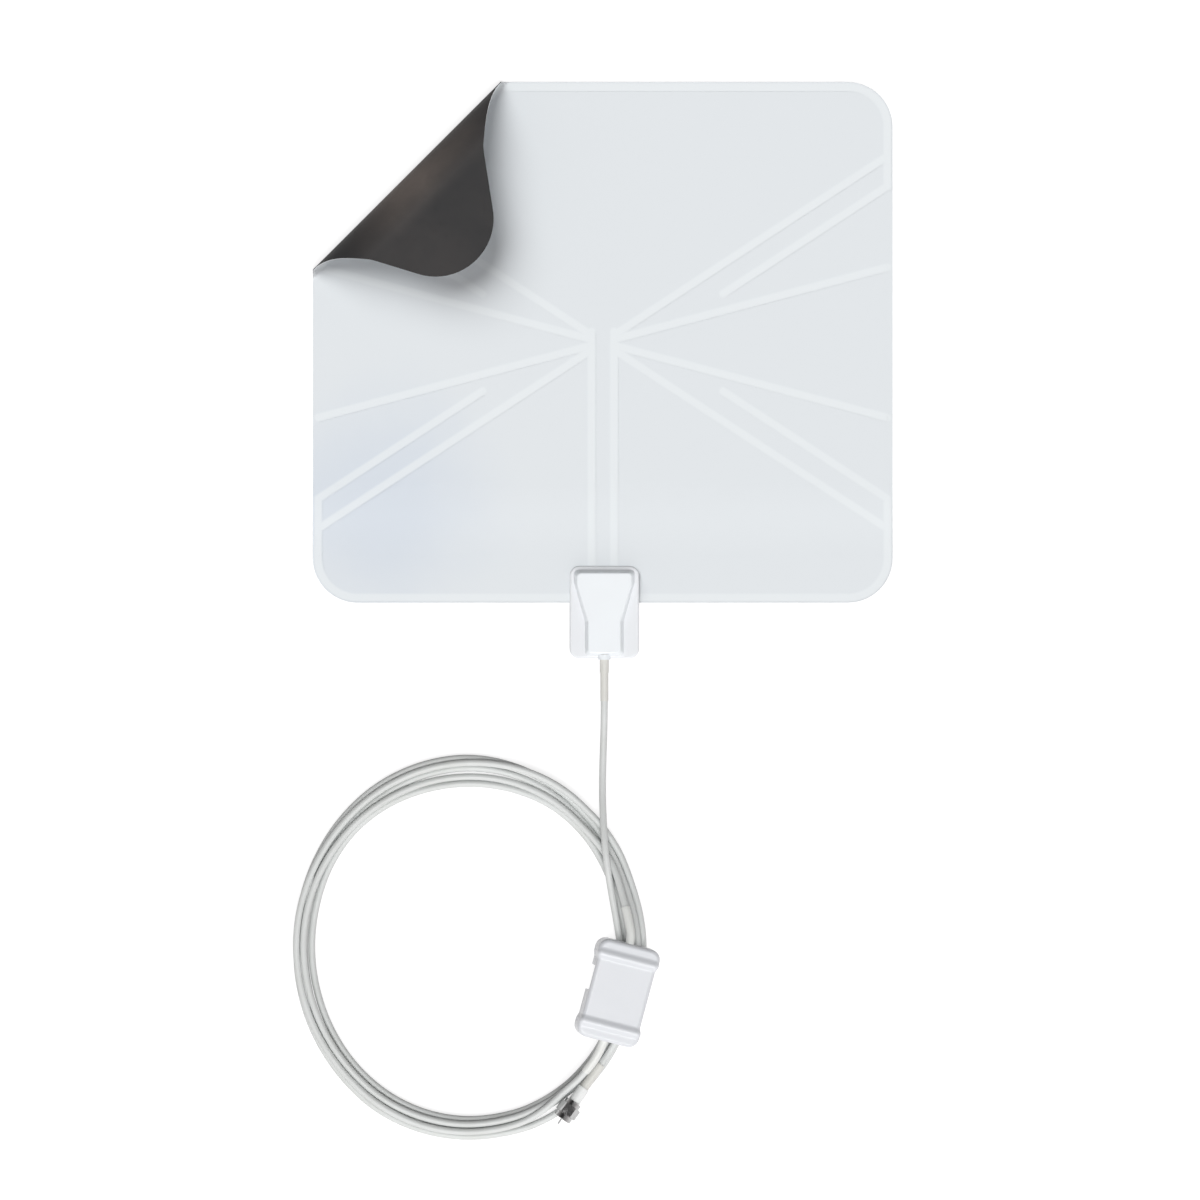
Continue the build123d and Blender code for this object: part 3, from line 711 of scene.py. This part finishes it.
class Palette:
    """The finishes of all the pieces."""

    front_film = FrontFilm("white_film_finish")
    back_film = BackFilm("black_film_finish")
    foil = PlatedMetal(
        "foil_finish", Tint(214, 214, 212), Tint(188, 188, 186), roughness=0.35, marks=0.6
    )
    # The housing's flange, below 5.2 mm, is darkened with painted shade.
    housing = MouldedPlastic(
        "housing_plastic_finish", Tint(223, 228, 231), Tint(218, 221, 224),
        roughness=0.4, grain=0.35, relief=0.03, shade_and_matte_below=5.2,
    )
    amp = MouldedPlastic(
        "amp_plastic_finish", Tint(205, 208, 212), Tint(199, 203, 207),
        roughness=0.3, grain=0.3, relief=0.02, coat=0.15,
    )
    board = CircuitBoard("circuit_board_finish")
    brass = PlatedMetal(
        "brass_contact_finish", Tint(214, 180, 106), Tint(166, 130, 66), roughness=0.25, marks=0.3
    )
    ferrite = MouldedPlastic(
        "ferrite_finish", Tint(58, 56, 58), Tint(44, 42, 44), roughness=0.62, grain=0.2, relief=0.4
    )
    copper = PlatedMetal(
        "copper_wire_finish", Tint(190, 104, 62), Tint(142, 72, 40), roughness=0.28, marks=0.4
    )
    sleeve = MouldedPlastic(
        "cream_sleeve_finish", Tint(206, 206, 201), Tint(198, 199, 194),
        roughness=0.46, grain=0.5, relief=0.06,
    )
    pale_sleeve = MouldedPlastic(
        "pale_sleeve_finish", Tint(213, 215, 212), Tint(205, 208, 205),
        roughness=0.44, grain=0.5, relief=0.05,
    )
    boot = MouldedPlastic(
        "white_boot_finish", Tint(224, 226, 225), Tint(214, 217, 217),
        roughness=0.38, grain=0.4, relief=0.06,
    )
    jacket = CableJacket("cable_jacket_finish")
    tin = PlatedMetal(
        "tinned_steel_finish", Tint(196, 197, 198), Tint(164, 165, 168), roughness=0.3, marks=0.5
    )
    black = MouldedPlastic(
        "black_plastic_finish", Tint(34, 34, 36), Tint(24, 24, 26), roughness=0.45, grain=0.3, relief=0.15
    )
    nickel = PlatedMetal(
        "nickel_finish", Tint(186, 186, 186), Tint(140, 138, 137), roughness=0.11, marks=0.5
    )
    dielectric = MouldedPlastic(
        "dielectric_finish", Tint(242, 242, 240), Tint(232, 232, 230),
        roughness=0.5, grain=0.4, relief=0.1,
    )


class Dresser:
    """Puts finishes on the frame's nodes and new meshes on its bodies."""

    def __init__(self, nodes: Nodes) -> None:
        """Keeps the frame's nodes, to which the new pieces are added."""
        self.nodes = nodes

    def dress(self, finish: Finish, *names: str) -> None:
        """Gives nodes a finish through their material slots.

        Args:
            finish: the finish.
            names: nodes that take it.
        """
        for name in names:
            node = self.nodes[name]
            if not node.material_slots:
                node.data.materials.append(None)
            for slot in node.material_slots:
                slot.material = finish.material()
            LOG.info("dressed %s in %s", name, finish.name)

    def add(
        self, name: str, mesh: bpy.types.Mesh, finish: Finish, body: Body, slot: Slot
    ) -> bpy.types.Object:
        """Adds a new mesh to the object.

        Args:
            name: the piece's name.
            mesh: its mesh, in the shared frame.
            finish: its finish.
            body: body that it rides on.
            slot: record slot of its finish; not used.

        Returns:
            The piece.
        """
        mesh.name = name
        mesh.materials.clear()
        mesh.materials.append(finish.material())
        piece = bpy.data.objects.new(name, mesh)
        bpy.context.scene.collection.objects.link(piece)
        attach(piece, body.value)
        self.nodes[name] = piece
        LOG.info("built %s with %d faces", name, len(mesh.polygons))
        return piece


# Meshes


def as_mesh(shape: bmesh.types.BMesh, name: str) -> bpy.types.Mesh:
    """Gives a worked shape as a mesh.

    Args:
        shape: the shape, which is freed.
        name: the mesh's name.

    Returns:
        The mesh.
    """
    mesh = bpy.data.meshes.new(name)
    shape.to_mesh(mesh)
    shape.free()
    return mesh


def modified(mesh: bpy.types.Mesh, kind: str, settings: dict[str, Any]) -> bpy.types.Mesh:
    """Gives a mesh as one modifier leaves it.

    Args:
        mesh: the mesh, which stays as it is.
        kind: Blender's type name of the modifier.
        settings: the modifier's properties.

    Returns:
        The new mesh.
    """
    holder = bpy.data.objects.new("holder", mesh)
    bpy.context.scene.collection.objects.link(holder)
    modifier = holder.modifiers.new(kind, kind)
    for name, setting in settings.items():
        setattr(modifier, name, setting)
    bpy.context.view_layer.update()
    depsgraph = bpy.context.evaluated_depsgraph_get()
    made = bpy.data.meshes.new_from_object(holder.evaluated_get(depsgraph))
    bpy.data.objects.remove(holder)
    return made


# Cable

# A coil's keys: clockwise angle in degrees, radius and height in millimetres. Each turn's keys
# start just past the right-hand side, where the lead comes down into the coil.
FIRST_TURN: tuple[Triple, ...] = (
    (15, 87.5, 2.1), (22, 89.3, 2.0), (30, 91.2, 2.0), (40, 93.2, 2.0), (50, 94.8, 2.0),
    (57, 95.9, 2.0), (65, 96.9, 2.0), (75, 97.8, 2.0), (90, 98.2, 2.0), (105, 97.6, 2.0),
    (120, 96.0, 2.0), (135, 93.8, 2.0), (150, 91.7, 2.0), (165, 90.3, 2.0), (180, 90.0, 2.0),
    (195, 90.4, 2.0), (210, 92.2, 2.0), (225, 93.6, 2.0), (240, 93.7, 2.0), (255, 93.2, 2.0),
    (270, 93.1, 2.0), (285, 93.1, 2.0), (300, 93.1, 2.0), (315, 91.5, 2.0), (330, 89.0, 2.0),
    (345, 88.0, 2.0), (355, 88.6, 2.0), (365, 89.9, 2.0),
)
SECOND_TURN: tuple[Triple, ...] = (
    (15, 91.4, 2.0), (22, 93.2, 2.0), (30, 95.1, 2.0), (40, 97.1, 2.0), (50, 98.7, 2.0),
    (57, 99.8, 2.0), (65, 100.8, 2.0), (75, 102.3, 2.0), (90, 103.2, 2.0), (105, 103.0, 2.0),
    (120, 101.9, 2.0), (135, 99.2, 2.0), (150, 96.3, 2.0), (165, 94.6, 2.0), (180, 94.0, 2.0),
    (195, 94.4, 2.0), (210, 96.2, 2.0), (225, 97.9, 2.0), (240, 99.5, 2.0), (255, 101.2, 2.0),
    (270, 102.2, 2.0), (285, 101.2, 2.0), (300, 98.9, 2.0), (315, 95.4, 2.0), (330, 92.9, 2.0),
    (345, 91.9, 2.0), (355, 92.5, 2.0), (365, 93.8, 2.0),
)
THIRD_TURN: tuple[Triple, ...] = (
    (15, 95.3, 2.0), (22, 97.1, 2.0), (30, 99.0, 2.0), (40, 101.0, 2.0), (50, 103.0, 2.0),
    (57, 105.3, 2.0), (65, 107.0, 2.0), (75, 107.6, 2.0), (90, 107.9, 2.0), (105, 107.5, 2.0),
    (120, 106.2, 2.0), (135, 103.2, 2.0), (150, 101.0, 2.0), (165, 99.4, 2.0), (180, 98.5, 2.0),
    (195, 98.9, 2.0), (210, 100.5, 2.0), (225, 103.0, 2.0), (240, 105.6, 2.0), (255, 107.2, 2.0),
    (270, 107.9, 2.0), (285, 105.9, 2.0), (300, 102.8, 2.0), (315, 99.3, 2.0), (322, 97.6, 2.8),
    (330, 96.0, 4.2), (345, 94.8, 4.6), (355, 95.3, 4.8), (365, 96.2, 5.0),
)
TOP_TURN: tuple[Triple, ...] = (
    (15, 97.4, 5.5), (22, 95.2, 5.6), (30, 93.1, 5.4), (40, 95.2, 5.3), (50, 96.8, 5.3),
    (57, 97.9, 5.3), (65, 98.9, 5.3), (75, 100.0, 5.1), (90, 100.8, 5.0), (105, 100.4, 5.0),
    (120, 99.3, 5.0), (135, 97.0, 5.3), (150, 95.4, 5.75), (165, 94.5, 5.85), (180, 94.6, 5.8),
    (195, 95.0, 5.8), (210, 95.3, 5.6), (225, 95.8, 5.2), (240, 96.4, 4.7), (255, 97.0, 2.9),
    (270, 97.0, 2.0), (285, 96.9, 2.2), (300, 96.0, 4.5), (315, 93.6, 5.3), (324, 93.8, 5.7),
    (331, 94.0, 8.6),
)
CONNECTOR_TURN: tuple[Triple, ...] = (
    (48, 96.6, 12.9), (56, 97.3, 10.6), (65, 101.2, 8.3), (75, 104.3, 5.6), (90, 105.0, 5.5),
    (105, 104.8, 5.5), (120, 103.3, 5.6), (135, 100.9, 5.6), (150, 99.5, 5.7), (165, 98.6, 5.8),
    (180, 98.6, 5.9), (195, 99.0, 5.9), (210, 99.6, 5.8), (225, 101.0, 5.3), (240, 102.8, 4.8),
    (255, 104.3, 4.5), (270, 105.1, 4.7), (285, 105.4, 5.85), (300, 104.6, 5.3), (315, 102.0, 5.0),
    (322, 101.3, 3.9), (330, 100.0, 2.2), (345, 98.2, 2.0), (355, 98.5, 2.0), (365, 98.8, 2.0),
    (375, 99.5, 2.3), (380, 100.2, 4.0), (385, 99.6, 5.6), (390, 98.8, 5.95),
)

# The lead's route from the housing down to the coil, and from the coil up to the amplifier.
LEAD_ROUTE: tuple[Triple, ...] = (
    (0.9, -175.5, 4.7), (0.9, -192.0, 4.7), (0.9, -209.0, 4.7), (0.6, -224.0, 3.3),
    (0.0, -241.0, 2.2), (-0.2, -257.0, 4.1), (0.2, -270.0, 7.0), (0.8, -280.5, 9.3),
    (1.6, -290.5, 10.6), (2.9, -300.0, 10.2), (4.3, -309.0, 8.4), (6.0, -319.0, 6.5),
    (7.9, -329.5, 5.2), (9.6, -340.0, 4.3), (10.6, -352.0, 3.3),
)
LEAD_RISE: tuple[Triple, ...] = ((12.2, -318.0, 13.6), (15.0, -329.5, 16.2))


@dataclass
class Cable:
    """The coaxial cable: the panel's lead with four turns, and the connector's lead with one."""

    diameter: float = 3.9 * MM
    middle: Pair = (-75.6, -344.3)
    into_amp: Pair = (31.0, 20.5)
    out_of_amp: Pair = (-20.5, -33.3)
    into_connector: Triple = (-7.0, 0.0, 19.9)
    relief_width: float = 5.1
    relief_taper: float = 0.04
    relief_lip: float = 0.93
    input_relief: Pair = (4.4, 29.3)
    output_relief: Pair = (4.4, 29.5)
    sides: int = 6
    smoothness: int = 6
    line_smoothness: int = 24

    def turns(self, keys: list[Triple]) -> list[Vector]:
        """Control points of the turns.

        Args:
            keys: angle, radius and height of each point.

        Returns:
            The points, moved out so that the spline between them keeps the radius.
        """
        points = []
        for index, (angle, radius, height) in enumerate(keys):
            before = keys[max(index - 1, 0)][0]
            after = keys[min(index + 1, len(keys) - 1)][0]
            half_step = math.radians((after - before) / 4.0)
            reach = radius / math.cos(half_step)
            turn = math.radians(-angle)
            points.append(
                Vector(
                    (
                        self.middle[0] + reach * math.cos(turn),
                        self.middle[1] + reach * math.sin(turn),
                        height,
                    )
                )
            )
        return points

    def by_amp(self, along: float) -> Vector:
        """Point on the amplifier's cable line, from its middle towards its upper end."""
        return Vector(AMP_MIDDLE) + Vector(AMP_ALONG) * along

    def by_connector(self, along: float) -> Vector:
        """Point on the connector's axis, from the start of its sleeve."""
        return Vector(CONNECTOR_START) + Vector(CONNECTOR_AXIS) * along

    def lead_points(self) -> list[Vector]:
        """Route from the housing over the coil, round its turns and into the amplifier.

        Returns:
            Control points in millimetres.
        """
        keys = []
        for index, turn in enumerate((FIRST_TURN, SECOND_TURN, THIRD_TURN, TOP_TURN)):
            keys += [(angle + 360.0 * index, radius, height) for angle, radius, height in turn]
        start = [Vector(point) for point in LEAD_ROUTE]
        rise = [Vector(point) for point in LEAD_RISE]
        return start + self.turns(keys) + rise + [self.by_amp(along) for along in self.into_amp]

    def connector_points(self) -> list[Vector]:
        """Route from the amplifier's lower end round one turn to the connector.

        Returns:
            Control points in millimetres.
        """
        start = [self.by_amp(along) for along in self.out_of_amp]
        end = [self.by_connector(along) for along in self.into_connector]
        return start + self.turns(list(CONNECTOR_TURN)) + end

    def tube(self, name: str, width: float) -> bpy.types.Curve:
        """Round curve with closed ends and no points yet.

        Args:
            name: the curve's name.
            width: its diameter in metres.

        Returns:
            The curve.
        """
        data = bpy.data.curves.new(name, "CURVE")
        data.dimensions = "3D"
        data.bevel_depth = width / 2
        data.bevel_resolution = self.sides
        data.use_fill_caps = True
        return data

    def cord(self, name: str, points: list[Vector]) -> bpy.types.Object:
        """Makes one cord as a smooth round curve.

        Args:
            name: the cord's name.
            points: control points in millimetres.

        Returns:
            The curve object, which rides on the antenna.
        """
        data = self.tube(name, self.diameter)
        data.resolution_u = self.smoothness
        spline = data.splines.new("NURBS")
        spline.points.add(len(points) - 1)
        for slot, point in zip(spline.points, points):
            slot.co = (*(point * MM), 1.0)
        spline.order_u = 3
        spline.use_endpoint_u = True
        spline.use_smooth = True
        data.materials.append(Palette.jacket.material())
        cord = bpy.data.objects.new(name, data)
        bpy.context.scene.collection.objects.link(cord)
        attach(cord, Body.ANTENNA.value)
        LOG.info("built %s from %d points", name, len(points))
        return cord

    def line(self, cord: bpy.types.Object) -> list[Vector]:
        """Middle line of a cord, read from its spline.

        Args:
            cord: the cord.

        Returns:
            Points on the line, in metres.
        """
        bare = cord.copy()
        bare.data = cord.data.copy()
        bare.data.bevel_depth = 0.0
        bare.data.resolution_u = self.line_smoothness
        mesh = bpy.data.meshes.new_from_object(bare)
        points = [vertex.co.copy() for vertex in mesh.vertices]
        bpy.data.meshes.remove(mesh)
        bpy.data.curves.remove(bare.data)
        return points

    def sleeve(self, points: list[Vector], span: Pair) -> bpy.types.Mesh:
        """Tapered strain relief along a stretch of a cord.

        Args:
            points: the cord's line, from the end that the sleeve is on.
            span: distances from that end to the sleeve's start and end, in millimetres.

        Returns:
            The sleeve's mesh.
        """
        start, end = span
        stretch: list[Vector] = []
        travelled = 0.0
        for before, after in zip(points, points[1:]):
            travelled += (after - before).length / MM
            if start <= travelled <= end:
                stretch.append(after)
        data = self.tube("sleeve", self.relief_width * MM)
        spline = data.splines.new("POLY")
        last = len(stretch) - 1
        spline.points.add(last)
        for index, (slot, point) in enumerate(zip(spline.points, stretch)):
            slot.co = (*point, 1.0)
            slot.radius = self.relief_lip if index == last else 1.0 - self.relief_taper * index / last
        spline.use_smooth = True
        shape = bpy.data.objects.new("sleeve", data)
        mesh = bpy.data.meshes.new_from_object(shape)
        bpy.data.curves.remove(data)
        return mesh

    def build(self, dresser: Dresser) -> None:
        """Args:
            dresser: what puts pieces on the frame.
        """
        lead = self.cord("panel_lead", self.lead_points())
        tail = self.cord("connector_lead", self.connector_points())
        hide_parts("lead_cable", "cable_coil", "input_cable")
        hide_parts("output_cable", "connector_cable")
        into = dresser.add(
            "input_relief",
            self.sleeve(self.line(lead)[::-1], self.input_relief),
            Palette.pale_sleeve,
            Body.ANTENNA,
            Slot.CREAM_SLEEVE,
        )
        out = dresser.add(
            "output_relief",
            self.sleeve(self.line(tail), self.output_relief),
            Palette.pale_sleeve,
            Body.ANTENNA,
            Slot.CREAM_SLEEVE,
        )
        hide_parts("input_sleeve")
        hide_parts("output_sleeve")


# Sub-assemblies


@dataclass
class Panel:
    """The laminated film panel with its rolled corner."""

    def build(self, dresser: Dresser) -> None:
        """Dresses both films and the foil between them.

        Args:
            dresser: what puts pieces on the frame.
        """
        dresser.dress(Palette.front_film, "front_film")
        dresser.dress(Palette.back_film, "back_film")
        dresser.dress(Palette.foil, "radiating_foil")


@dataclass
class FeedHousing:
    """The housing at the panel's lower edge and the circuit in it."""

    def build(self, dresser: Dresser) -> None:
        """Dresses the covers, the circuit and the lead's sleeve.

        Args:
            dresser: what puts pieces on the frame.
        """
        dresser.dress(Palette.housing, "front_cover", "rear_cover")
        dresser.dress(Palette.board, "matching_board")
        dresser.dress(Palette.brass, "contact_eyelets")
        dresser.dress(Palette.ferrite, "balun_core")
        dresser.dress(Palette.copper, "balun_winding")
        dresser.dress(Palette.sleeve, "lead_sleeve")


@dataclass
class Amplifier:
    """The in-line amplifier, whose recess for the power plug goes on through the bottom."""

    middle: Triple = AMP_MIDDLE
    across: Triple = (0.951251, -0.254887, -0.173648)
    along: Triple = AMP_ALONG
    up: Triple = (0.167731, -0.044944, 0.984808)
    recess_middle: Triple = (-18.15, 4.6, -7.0)
    recess_size: Triple = (6.8, 14.6, 6.0)
    crease: float = 30.0

    def recess(self) -> bpy.types.Mesh:
        """Block that the recess takes out of the lower shell.

        Returns:
            The block's mesh, in the shared frame.
        """
        axes = Matrix((self.across, self.along, self.up)).transposed()
        place = (Vector(self.middle) + axes @ Vector(self.recess_middle)) * MM
        size = Matrix.Diagonal((*(length * MM for length in self.recess_size), 1.0))
        turned = Matrix.Translation(place) @ axes.to_4x4() @ size
        shape = bmesh.new()
        bmesh.ops.create_cube(shape, size=1.0, matrix=turned)
        return as_mesh(shape, "recess")

    def lower_case(self, shell: bpy.types.Object) -> bpy.types.Mesh:
        """Lower shell with the recess cut on through its bottom.

        Args:
            shell: the frame's lower shell.

        Returns:
            The mesh of the cut copy.
        """
        shape = bmesh.new()
        shape.from_mesh(shell.data)
        bmesh.ops.remove_doubles(shape, verts=shape.verts, dist=WELD)
        whole = as_mesh(shape, "lower_shell_copy")
        cutter = bpy.data.objects.new("recess", self.recess())
        bpy.context.scene.collection.objects.link(cutter)
        mesh = modified(
            whole, "BOOLEAN", {"operation": "DIFFERENCE", "solver": "EXACT", "object": cutter}
        )
        bpy.data.objects.remove(cutter)
        mesh.shade_smooth()
        mesh.set_sharp_from_angle(angle=math.radians(self.crease))
        return modified(mesh, "WEIGHTED_NORMAL", {"keep_sharp": True})

    def build(self, dresser: Dresser) -> None:
        """Cuts the lower case, and dresses the shells, the board and the power socket.

        Args:
            dresser: what puts pieces on the frame.
        """
        case = dresser.add(
            "amp_lower_case",
            self.lower_case(dresser.nodes["amp_lower_shell"]),
            Palette.amp,
            Body.ANTENNA,
            Slot.AMP_PLASTIC,
        )
        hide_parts("amp_lower_shell")
        dresser.dress(Palette.amp, "amp_upper_shell", "amp_lower_shell")
        dresser.dress(Palette.board, "amp_board")
        dresser.dress(Palette.tin, "amp_shield", "power_socket")
        dresser.dress(Palette.black, "power_tongue")


@dataclass
class Connector:
    """The screw-on connector with its free nut."""

    start: Triple = CONNECTOR_START
    axis: Triple = CONNECTOR_AXIS
    thread_start: float = 29.6
    thread_end: float = 37.0
    thread_pitch: float = 0.8
    thread_half_width: float = 0.42
    thread_depth: float = 0.42
    thread_seat: float = 0.05
    bore: float = 8.8
    steps: int = 28

    def thread(self) -> bpy.types.Mesh:
        """Ridge of the nut's thread, a small triangle spun along the bore.

        Returns:
            The thread's mesh.
        """
        axis = Vector(self.axis).normalized()
        start = (Vector(self.start) + axis * self.thread_start) * MM
        outward = axis.orthogonal().normalized()
        root = self.bore / 2 * MM
        seat = root + self.thread_seat * MM
        half = self.thread_half_width * self.thread_pitch * MM
        turns = (self.thread_end - self.thread_start - self.thread_pitch) / self.thread_pitch
        count = int(self.steps * turns)
        shape = bmesh.new()
        corners = [
            shape.verts.new(start + outward * seat - axis * half),
            shape.verts.new(start + outward * (root - self.thread_depth * MM)),
            shape.verts.new(start + outward * seat + axis * half),
        ]
        face = shape.faces.new(corners)
        bmesh.ops.spin(
            shape,
            geom=[face, *face.edges, *face.verts],
            cent=start,
            axis=axis,
            dvec=axis * (self.thread_pitch * MM / self.steps),
            angle=math.tau * count / self.steps,
            steps=count,
        )
        bmesh.ops.remove_doubles(shape, verts=shape.verts, dist=WELD)
        bmesh.ops.recalc_face_normals(shape, faces=shape.faces)
        return as_mesh(shape, "nut_thread")

    def build(self, dresser: Dresser) -> None:
        """Dresses the connector and adds the thread in its nut.

        Args:
            dresser: what puts pieces on the frame.
        """
        dresser.dress(Palette.sleeve, "connector_sleeve")
        dresser.dress(Palette.boot, "connector_boot")
        dresser.dress(Palette.nickel, "connector_post", "coupling_nut")
        dresser.dress(Palette.dielectric, "connector_dielectric")
        dresser.dress(Palette.tin, "centre_pin")
        dresser.add("nut_thread", self.thread(), Palette.nickel, Body.NUT, Slot.NICKEL)


# Studio


@dataclass
class Lamp:
    """One wide, even studio light, placed by the direction that it shines from."""

    name: str
    azimuth: float
    elevation: float
    spread: float
    strength: float
    shutter: Shutter
    distance: float = 2.0

    def group(
        self, use: str, pieces: list[bpy.types.Object], state: Shutter
    ) -> bpy.types.Collection:
        """Collection that tells the lamp how to treat some pieces.

        Args:
            use: what the collection is for.
            pieces: the pieces in it.
            state: whether it names the pieces meant or those left out.

        Returns:
            The collection.
        """
        made = bpy.data.collections.new(f"{self.name}_{use}")
        for piece in pieces:
            made.objects.link(piece)
        for entry in made.collection_objects:
            entry.light_linking.link_state = state.value
        return made

    def build(self, film: bpy.types.Object, clear: list[bpy.types.Object]) -> None:
        """Adds the light, aims it and sets its shutter.

        Args:
            film: the front film, which the shutter is for.
            clear: pieces that throw no shadow in this light.
        """
        light = bpy.data.lights.new(self.name, "SUN")
        light.energy = self.strength
        light.angle = math.radians(self.spread)
        turn = math.radians(self.azimuth)
        rise = math.radians(self.elevation)
        level = math.cos(rise)
        source = Vector((math.sin(turn) * level, -math.cos(turn) * level, math.sin(rise)))
        lamp = bpy.data.objects.new(self.name, light)
        lamp.location = source * self.distance
        lamp.rotation_euler = (-source).to_track_quat("-Z", "Y").to_euler()
        bpy.context.scene.collection.objects.link(lamp)
        lamp.light_linking.receiver_collection = self.group("shutter", [film], self.shutter)
        if clear:
            lamp.light_linking.blocker_collection = self.group("shadow", clear, Shutter.ALL_BUT)


@dataclass(frozen=True)
class Paper(Finish):
    """Pale studio paper, lit from behind so that shadows on it stay faint."""

    body: Tint = Tint(160, 160, 160)
    shade: Tint = Tint(157, 157, 157)
    patches: float = 120.0
    patches_detail: float = 2.0
    roughness: float = 0.9
    specular: float = 0.1
    glow: float = 0.75
    glow_colour: Colour = (1.0, 1.0, 1.0, 1.0)

    def fill(self, graph: Graph) -> None:
        """Fills the node tree.

        Args:
            graph: the material's node tree.
        """
        patches = graph.noise(self.patches, self.patches_detail)
        graph.surface(
            {
                "Base Color": graph.mix(patches, self.body.paint(), self.shade.paint()),
                "Roughness": self.roughness,
                "Specular IOR Level": self.specular,
                "Emission Color": self.glow_colour,
                "Emission Strength": self.glow,
            }
        )


@dataclass
class Studio:
    """Floor, lights and the camera straight above, with places in metres."""

    floor_half: float = 3.0
    floor_place: Triple = (0.0, -0.15, -0.0003)
    camera_place: Triple = (-0.00157, -0.1467, 3.797)
    lens: float = 200.0
    sensor: float = 36.0
    clip_end: float = 50.0
    zenith: float = 0.12
    horizon: float = 0.96
    horizon_blur: float = 0.15
    tilt: float = 0.45
    below: float = 0.35
    sky_colour: Colour = (1.0, 0.965, 0.965, 1.0)

    def floor(self) -> None:
        """Adds the floor just under the object."""
        shape = bmesh.new()
        bmesh.ops.create_grid(
            shape,
            x_segments=2,
            y_segments=2,
            size=self.floor_half,
            matrix=Matrix.Translation(self.floor_place),
        )
        mesh = as_mesh(shape, "floor")
        mesh.materials.append(Paper("paper_finish").material())
        floor = bpy.data.objects.new("floor", mesh)
        floor.visible_diffuse = False
        bpy.context.scene.collection.objects.link(floor)

    def sky(self) -> None:
        """Lights the room softly, dark overhead and brightest beyond the panel's lower edge."""
        world = bpy.data.worlds.new("studio_room")
        world.use_nodes = True
        graph = Graph(world.node_tree)
        direction = graph.node("ShaderNodeTexCoord").outputs["Generated"]
        split = graph.node("ShaderNodeSeparateXYZ", None, {0: direction})
        away = Value(graph, split.outputs[1])
        up = Value(graph, split.outputs[2])
        level = self.zenith + (self.horizon - self.zenith) * (1.0 - up.most(0.0))
        above = up.step(-self.horizon_blur, self.horizon_blur)
        bright = (level - self.tilt * away) * (self.below + (1.0 - self.below) * above)
        shade = graph.node(
            "ShaderNodeBackground", None, {"Color": self.sky_colour, "Strength": bright}
        )
        graph.node("ShaderNodeOutputWorld", None, {"Surface": shade.outputs[0]})
        bpy.context.scene.world = world

    def camera(self) -> None:
        """Puts a long lens straight above, with the panel's upper edge at the top."""
        data = bpy.data.cameras.new("camera")
        data.lens = self.lens
        data.sensor_width = self.sensor
        data.clip_end = self.clip_end
        camera = bpy.data.objects.new("camera", data)
        camera.location = self.camera_place
        bpy.context.scene.collection.objects.link(camera)
        bpy.context.scene.camera = camera

    def build(self, film: bpy.types.Object, clear: list[bpy.types.Object]) -> None:
        """Sets up the whole studio.

        Args:
            film: the front film, which has a lamp of its own.
            clear: pieces that throw no shadow from the front.
        """
        bpy.context.scene.view_settings.view_transform = "Standard"
        self.camera()
        self.floor()
        self.sky()
        front = Lamp(
            "front", azimuth=4.0, elevation=68.0, spread=44.0, strength=2.51, shutter=Shutter.ALL_BUT
        )
        front.build(film, clear)
        upper_left = Lamp(
            "upper_left", azimuth=218.0, elevation=47.0, spread=50.0, strength=3.22, shutter=Shutter.ONLY
        )
        upper_left.build(film, [])


def main() -> None:
    """Builds and dresses the antenna."""
    logging.basicConfig(level=logging.INFO, format="%(name)s: %(message)s")
    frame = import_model()
    dresser = Dresser(frame["nodes"])
    for part in (Panel(), FeedHousing(), Amplifier(), Connector(), Cable()):
        part.build(dresser)
        LOG.info("finished %s", type(part).__name__)
    nodes = dresser.nodes
    Studio().build(nodes["front_film"], [nodes["amp_upper_shell"], nodes["amp_lower_case"]])


if __name__ == "__main__":
    main()
